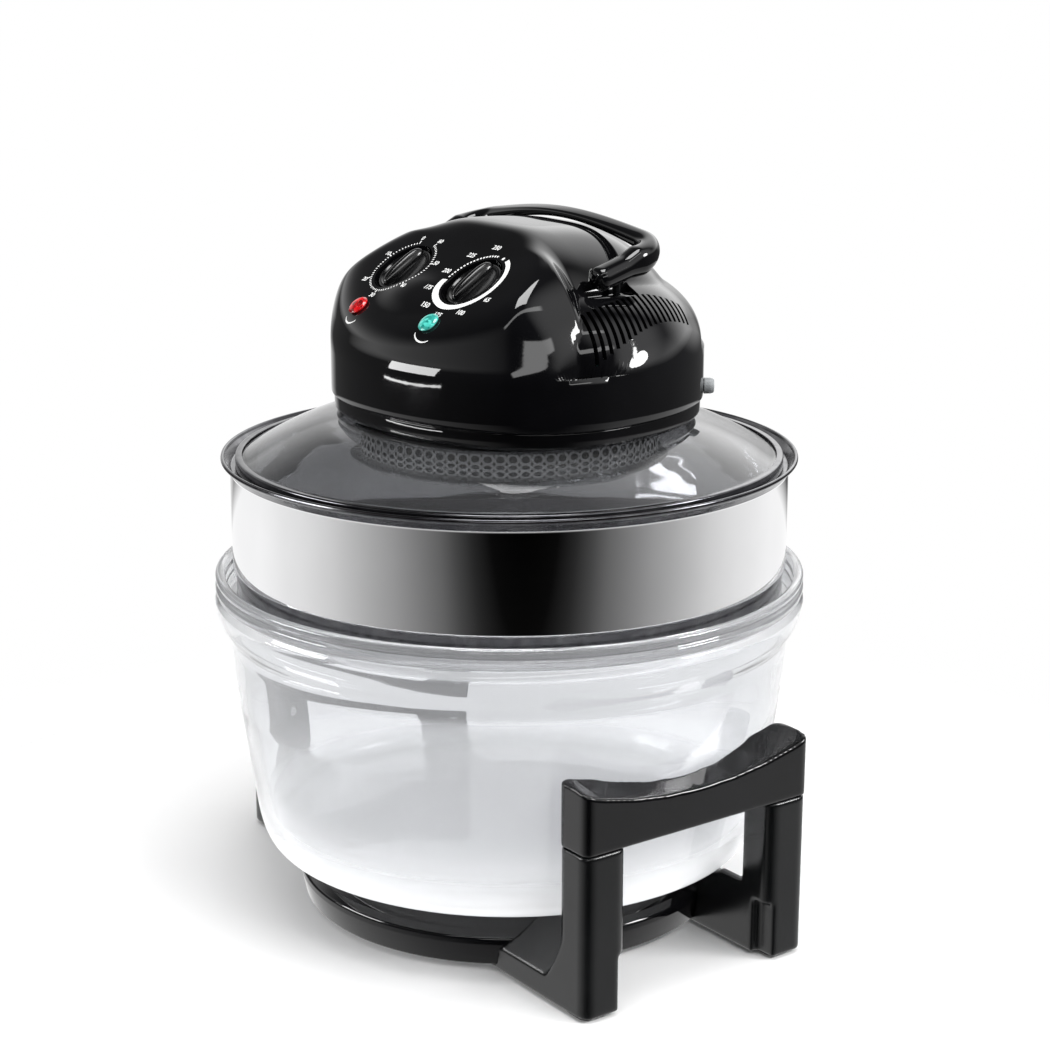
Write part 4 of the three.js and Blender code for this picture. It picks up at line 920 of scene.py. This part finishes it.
def round_line(sx, radius, start, end, first, last, steps=60):
    """An arc round a dial from one angle to another, in degrees, of changing width."""
    points, widths = [], []
    for k in range(steps + 1):
        share = k / steps
        points.append(polar(radius, radians(start + (end - start) * share)))
        widths.append(first + (last - first) * share)
    return stroke(sx, points, widths)


def number(sx, text, angle, radius, size):
    """A number by a dial, upright on the slope, laid on the dome."""
    curve = bpy.data.curves.new("number", "FONT")
    curve.body = text
    curve.size = size
    curve.align_x, curve.align_y = "CENTER", "CENTER"
    curve.resolution_u = 3
    curve.offset = 0.12
    mesh = resolved(placed("number", curve))
    u0, v0 = polar(radius, radians(angle))
    for vertex in mesh.vertices:
        vertex.co = laid(sx, u0 + vertex.co.x, v0 + vertex.co.y, 0.12) * MM
    return mesh


def spot_mark(sx, u, v, radius):
    """A printed dot."""
    rim = [polar(radius, t) for t in whole_turn(20)]
    return skin("spot", [[laid(sx, u, v)] * 20, [laid(sx, u + x, v + y) for x, y in rim]])


# %% Timer and temperature scales
timer_marks, timer_start, timer_sweep = [], 70, 320
for k in range(61):
    angle = radians(timer_start - k * timer_sweep / 60)
    tall = 2.6 if k % 10 == 0 else 1.3
    timer_marks.append(stroke(-1, [polar(r, angle) for r in (20.4, 20.4 + tall)], [0.8, 0.8]))
for k in range(7):
    timer_marks.append(number(-1, str(60 - 10 * k), timer_start - k * timer_sweep / 6, 25.4, 4.3))
dressed("timer_scale", joined(timer_marks), "lid_unit", white_ink)

heat_marks = [round_line(1, 21.8, 62, -172, 2.7, 4.2),
              spot_mark(1, *polar(21.0, radians(74)), 1.1)]
for k in range(17):
    angle = -178 - k * 5.6
    heat_marks.append(round_line(1, 21.0, angle, angle - 3.2, 1.4, 1.4, 2))
for k, text in enumerate(("65", "100", "125", "150", "175", "200", "225", "250")):
    heat_marks.append(number(1, text, -22 - k * 33, 28.4, 4.6))
dressed("temperature_scale", joined(heat_marks), "lid_unit", white_ink)

# %% [markdown]
# ## Indicator lamps
# A red and a green acrylic lens, each a low dome with a flange, with a printed curve under it.

# %% Lenses and their curves
for sx, name, tint in ((-1, "power", red_acrylic), (1, "heat", green_acrylic)):
    spot = lamp_spot(sx)
    lens_rows = aimed_rows(filleted([
        (0, -8), (4.8, -8), (4.8, 0.6), (6.2, 0.6, 0.3), (6.2, 1.3, 0.5), (4.9, 2.2, 1.2),
        (2.6, 2.75), (0, 2.85)]), 48, spot)
    dressed(name + "_acrylic_lens", skin("lens", lens_rows), "lid_unit",
            tint, name + "_lens")
    centre_u = sx * lamp_x - sx * dial_x
    swoosh = [(centre_u + 2 + 6.6 * cos(angle), -42.0 + 4.6 * sin(angle))
              for angle in (radians(190 + k * 4.6) for k in range(31))]
    widths = [0.5 + 0.5 * sin(pi * k / 30) for k in range(31)]
    dressed(name + "_curve", stroke(sx, swoosh, widths), "lid_unit", white_ink)

# %% [markdown]
# ## The carry handle
# A U-shaped bail on two pins. Its arms are thick blocks with rounded edges that swell towards
# the corners, and its bar thins where it lies over the crown. It is lofted along its centre
# line: each section is a rounded rectangle whose width and thickness depend on the distance
# from the middle.

# %% Centre line and section of the bail
pivot = Vector((0, 4, 379.0))
lean = 0.295
arm_x, arm_width, arm_thick, corner_y, bend, swelling = 83.5, 14.5, 13.0, 22.0, 16.0, 3.5
arm_step = (corner_y + 8) / 18
arm_along = Vector((0, cos(lean), sin(lean)))
arm_up = Vector((0, -sin(lean), cos(lean)))


def bail_line():
    """Centre line of the bail's right half: (x, distance along the arm)."""
    line = [(arm_x, -8 + arm_step * k) for k in range(19)]
    line += [(arm_x - bend * (1 - cos(t)), corner_y + bend * sin(t))
             for t in (pi / 2 * k / 16 for k in range(1, 17))]
    return line + [((arm_x - bend) * (1 - k / 20), corner_y + bend) for k in range(1, 21)]


def rounded_box(width, height, radius, steps=6):
    """A rounded rectangle as (u, v) points."""
    out = []
    radius = min(radius, width / 2.1, height / 2.1)
    for q, (cx, cy) in enumerate(((1, 1), (-1, 1), (-1, -1), (1, -1))):
        for k in range(steps + 1):
            t = (q + k / steps) * pi / 2
            out.append((cx * (width / 2 - radius) + radius * cos(t),
                        cy * (height / 2 - radius) + radius * sin(t)))
    return out


half_line = bail_line()
print("half of the bail has", len(half_line), "points")

# %% Bail
whole_line = half_line + [(-x, t) for x, t in half_line[:-1][::-1]]
bail_rows = []
for i, (x, t) in enumerate(whole_line):
    before, after = whole_line[max(i - 1, 0)], whole_line[min(i + 1, len(whole_line) - 1)]
    run = Vector((after[0] - before[0], after[1] - before[1])).normalized()
    middle = max(0.0, cos(x / arm_x * pi / 2))
    thinning = middle ** 0.5
    full = arm_thick + swelling * min(1.0, max(0.0, (t - 12.5) / 9.5))
    thick, width = full * (1 - 0.73 * thinning), arm_width * (1 - 0.38 * thinning)
    rise = 7.1 * middle + thinning * (full - thick) / 2
    inward = (2 * middle - (arm_width - width) / 2) * min(1.0, max(0.0, (t - 16) / 8))
    from_end = min(i, len(whole_line) - 1 - i) * arm_step
    squeeze = 1 - 0.28 * max(0.0, 1 - from_end / 3.0) ** 2
    bail_rows.append([
        pivot + Vector((x + run.y * u, 0, 0)) + arm_along * (t - run.x * u - inward)
        + arm_up * (rise + v) for u, v in rounded_box(width * squeeze, thick * squeeze, 6.0)])
dressed("lofted_bail", skin("bail", bail_rows, capped=True), "bail",
        polished_abs, "carry_handle", 50)

# %% [markdown]
# ## Cord gland
# A short grey nub stands out of the head's rear wall. It is all that the photo shows there.

# %% Gland
gland_at, gland_next = egg_point(0.965), egg_point(0.975)
gland_axis = Vector((gland_next[1] - gland_at[1], gland_at[0] - gland_next[0], 0)).normalized()
gland_side = gland_axis.cross(Vector((0, 0, 1)))


def gland_spot(u, v, h):
    """Placement about the nub's axis."""
    middle = Vector((gland_at[0], gland_at[1], base_z + 14))
    return middle + gland_side * u + Vector((0, 0, v)) + gland_axis * h


gland_profile = filleted([(0, -2.9), (3.4, -2.9), (3.4, 0.3), (4.6, 0.3, 0.3), (4.5, 4.2, 1),
                          (3.9, 6.2, 1.2), (1.7, 6.2, 0.3), (1.6, 4.5), (0, 4.5)])
dressed("cord_gland_nub", skin("gland", aimed_rows(gland_profile, 40, gland_spot)),
        "lid_unit", nylon, "cord_gland")

# %% [markdown]
# ## Finishes for the solids that stay
# The screws, motor, fans, switches and pads keep their CAD shape, which is right for them, and
# get their real materials. A narrow bevel modifier breaks the hard edges of those that show.

# %% Materials on the remaining solids
stays = {
    zinc: ["leg_screw_" + c for c in corners] + ["grip_screw_" + c for c in corners]
    + [f"guard_screw_{k}" for k in (1, 2, 3)] + ["cover_screw_" + c for c in corners]
    + ["pivot_pin_left", "pivot_pin_right", "motor_rotor", "motor_bracket"],
    rubber: ["pad_" + c for c in corners],
    guard_steel: ["heat_shield"],
    aluminium: ["convection_fan", "cooling_fan"],
    ceramic: ["lamp_holder_left", "lamp_holder_right"],
    lamination: ["motor_stator"],
    copper_wire: ["motor_coil"],
    nylon: ["timer_body", "temperature_body", "terminal_block"],
    satin_abs: ["safety_switch", "switch_plunger"],
    lamp_glass: ["power_neon", "heat_neon"],
}
for material, names in stays.items():
    for name in names:
        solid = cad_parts[name]
        for place in solid.material_slots:
            place.material = material
        soft = solid.modifiers.new("broken_edges", "BEVEL")
        soft.width = 0.25 * MM
        soft.segments = 2
        soft.limit_method = "ANGLE"
        soft.angle_limit = radians(40)
    print(material.name, len(names))

# %% [markdown]
# ## Floor and room
# The photo is a cut-out on pure white. The floor is matt white paper that fades out into the
# white background a little way from the stand, so only the shadow near the object is left.

# %% Floor
paper = finish("white_paper_floor", "#f4f4f4", Roughness=0.9, Specular_IOR_Level=0.1)
tree, shader = shader_of(paper)
place = node(tree, "TexCoord")
length = node(tree, "VectorMath", {}, {0: (place, "Object")}, operation="LENGTH")
fade = node(tree, "MapRange", {"From Min": 0.22, "From Max": 0.52},
            {"Value": (length, "Value")}, interpolation_type="SMOOTHSTEP")
away = node(tree, "BsdfTransparent")
out = tree.nodes["Material Output"]
mix = node(tree, "MixShader", {},
           {"Fac": (fade, "Result"), 1: (shader, "BSDF"), 2: (away, "BSDF")})
tree.links.new(mix.outputs["Shader"], out.inputs["Surface"])
floor_mesh = turned("floor_disc", [(0, -0.4), (900, -0.4)], sides=64)
floor_mesh.materials.append(paper)
floor = placed("floor", floor_mesh)
floor.visible_glossy = False
print("floor", len(floor_mesh.polygons), "faces")

# %% [markdown]
# ## Light
# The room is a white cove with a dark ceiling and a black flag behind the camera. Camera and
# transmitted rays see plain white. Polished metal and plastic reflect the cove: white at the
# sides, falling to black towards the camera, which gives the steel band its long gradient, and
# dark above, which keeps the black dome black. A black cloth hangs round at the height of the
# head, so its walls stay black too. Soft patches, two strip lights and soft boxes add the
# highlights.

# %% World
world = bpy.data.worlds.new("cove")
bpy.context.scene.world = world
world.use_nodes = True
tree = world.node_tree
tree.nodes.clear()
path = node(tree, "LightPath")
direction = node(tree, "TexCoord")
split = node(tree, "SeparateXYZ", {}, {"Vector": (direction, "Generated")})
flag_way = node(tree, "VectorMath", {1: (0.866, -0.5, 0.0)}, {0: (direction, "Generated")},
                operation="DOT_PRODUCT")
upward, flagward = (split, "Z"), (flag_way, "Value")
print("world", world.name)

# %% The cove's level
# Each row is a value that goes from first to last while its source goes from start to end
levels = {}
for name, source, start, end, first, last, blend in (
        ("gradient", flagward, -1.0, 1.0, 0.0, 1.0, "LINEAR"),
        ("ceiling", upward, 0.2, 0.58, 1.0, 0.06, "SMOOTHSTEP"),
        ("below cloth", upward, -0.262, -0.244, 1.0, 0.1, "LINEAR"),
        ("above cloth", upward, 0.14, 0.26, 0.1, 1.0, "LINEAR"),
        ("rear gap", flagward, -0.99, -0.9, 1.0, 0.1, "LINEAR")):
    made = node(tree, "MapRange", {"From Min": start, "From Max": end, "To Min": first,
                                   "To Max": last}, {"Value": source}, interpolation_type=blend)
    levels[name] = (made, "Result")
flag = node(tree, "ValToRGB", {}, {"Fac": levels["gradient"]})
ramp = flag.color_ramp
ramp.elements[0].color, ramp.elements[1].color = (1, 1, 1, 1), (0, 0, 0, 1)
for position, value in ((0.2, 1.0), (0.26, 0.965), (0.34, 0.89), (0.42, 0.83), (0.48, 0.77),
                        (0.56, 0.68), (0.61, 0.595), (0.67, 0.5), (0.72, 0.42), (0.776, 0.335),
                        (0.815, 0.265), (0.8515, 0.2), (0.889, 0.133), (0.916, 0.065),
                        (0.939, 0.022), (0.957, 0.003), (0.975, 0.0)):
    ramp.elements.new(position).color = (value, value, value, 1)
lit = levels["below cloth"]
for name, operation in (("above cloth", "MAXIMUM"), ("rear gap", "MAXIMUM"),
                        ("ceiling", "MULTIPLY")):
    lit = (node(tree, "Math", {}, {0: lit, 1: levels[name]}, operation=operation), "Value")
level = (node(tree, "VectorMath", {}, {0: (flag, "Color"), 1: lit}, operation="MULTIPLY"),
         "Vector")
print(len(ramp.elements), "stops from white to black")


# %% Soft patches and strip lights
def towards(azimuth, elevation):
    """The direction at a compass angle from -Y and a height angle."""
    a, e = radians(azimuth), radians(elevation)
    return Vector((sin(a) * cos(e), -cos(a) * cos(e), sin(e)))


def near_to(aim, full, gone, strength):
    """Light round one direction: full inside one angle, gone outside the other."""
    near = node(tree, "VectorMath", {1: aim}, {0: (direction, "Generated")},
                operation="DOT_PRODUCT")
    return node(tree, "MapRange", {"From Min": cos(radians(gone)), "From Max": cos(radians(full)),
                                   "To Max": strength}, {"Value": (near, "Value")},
                interpolation_type="SMOOTHSTEP"), "Result"


lights = [near_to(towards(-150, 32), 6, 38, 1.5), near_to(towards(126, 38), 8, 36, 0.9)]
for start, end, half_width, strength in (((21, 28), (114, 52), 2.6, 3.2),
                                         ((40, 8), (106, 24), 3.4, 3.4)):
    # A long strip light: a band along the arc between two directions, with soft ends
    first, last = towards(*start), towards(*end)
    middle, half = (first + last).normalized(), degrees(first.angle(last)) / 2
    aside = node(tree, "VectorMath", {1: first.cross(last).normalized()},
                 {0: (direction, "Generated")}, operation="DOT_PRODUCT")
    aside = node(tree, "Math", {}, {0: (aside, "Value")}, operation="ABSOLUTE")
    inside = node(tree, "MapRange", {"From Min": radians(half_width - 0.3),
                                     "From Max": radians(half_width + 0.3),
                                     "To Min": 1.0, "To Max": 0.0}, {"Value": (aside, "Value")})
    strip = node(tree, "Math", {}, {0: near_to(middle, half - 1, half + 3, strength),
                                    1: (inside, "Result")}, operation="MULTIPLY")
    lights.append((strip, "Value"))
for light in lights:
    level = (node(tree, "VectorMath", {}, {0: level, 1: light}, operation="ADD"), "Vector")
print(len(lights), "lights on the cove")

# %% What each kind of ray sees
cove = node(tree, "Background", {"Strength": 1.0}, {"Color": level})
white, ambient = [node(tree, "Background", {"Color": (1, 1, 1, 1), "Strength": strength})
                  for strength in (1.0, 0.5)]
glossy = node(tree, "MixShader", {}, {"Fac": (path, "Is Glossy Ray"), 1: (ambient, "Background"),
                                      2: (cove, "Background")})
seen = node(tree, "Math", {}, {0: (path, "Is Camera Ray"), 1: (path, "Is Transmission Ray")},
            operation="MAXIMUM")
both = node(tree, "MixShader", {}, {"Fac": (seen, "Value"), 1: (glossy, "Shader"),
                                    2: (white, "Background")})
node(tree, "OutputWorld", {}, {"Surface": (both, "Shader")})
print("world nodes", len(tree.nodes))


# %% Soft boxes
def soft_box(name, azimuth, elevation, distance, width, height, watts, shape="RECTANGLE",
             mirrored=True):
    """An area lamp aimed at the head. Where it isn't mirrored, gloss doesn't show it."""
    data = bpy.data.lights.new(name, "AREA")
    data.shape = shape
    data.size, data.size_y = width, height
    data.energy = watts
    made = placed(name, data)
    target = Vector((0, 0, 0.28))
    made.location = target + distance * towards(azimuth, elevation)
    made.visible_camera = False
    made.visible_glossy = mirrored
    made.rotation_euler = (target - made.location).to_track_quat("-Z", "Y").to_euler()
    print(name, tuple(round(c, 2) for c in made.location))


soft_box("left_box", -28, 7, 1.6, 0.78, 0.36, 11)
soft_box("low_card", -26, -8.0, 1.1, 0.7, 0.014, 0.4)
soft_box("right_fill", 100, 36, 1.9, 1.0, 0.3, 14, mirrored=False)
soft_box("glow", 130, 22, 1.9, 0.6, 0.6, 20, "DISK")
soft_box("top_box", 60, 82, 1.8, 0.9, 0.9, 26)

# %% Settings
bpy.context.scene.view_settings.view_transform = "Standard"
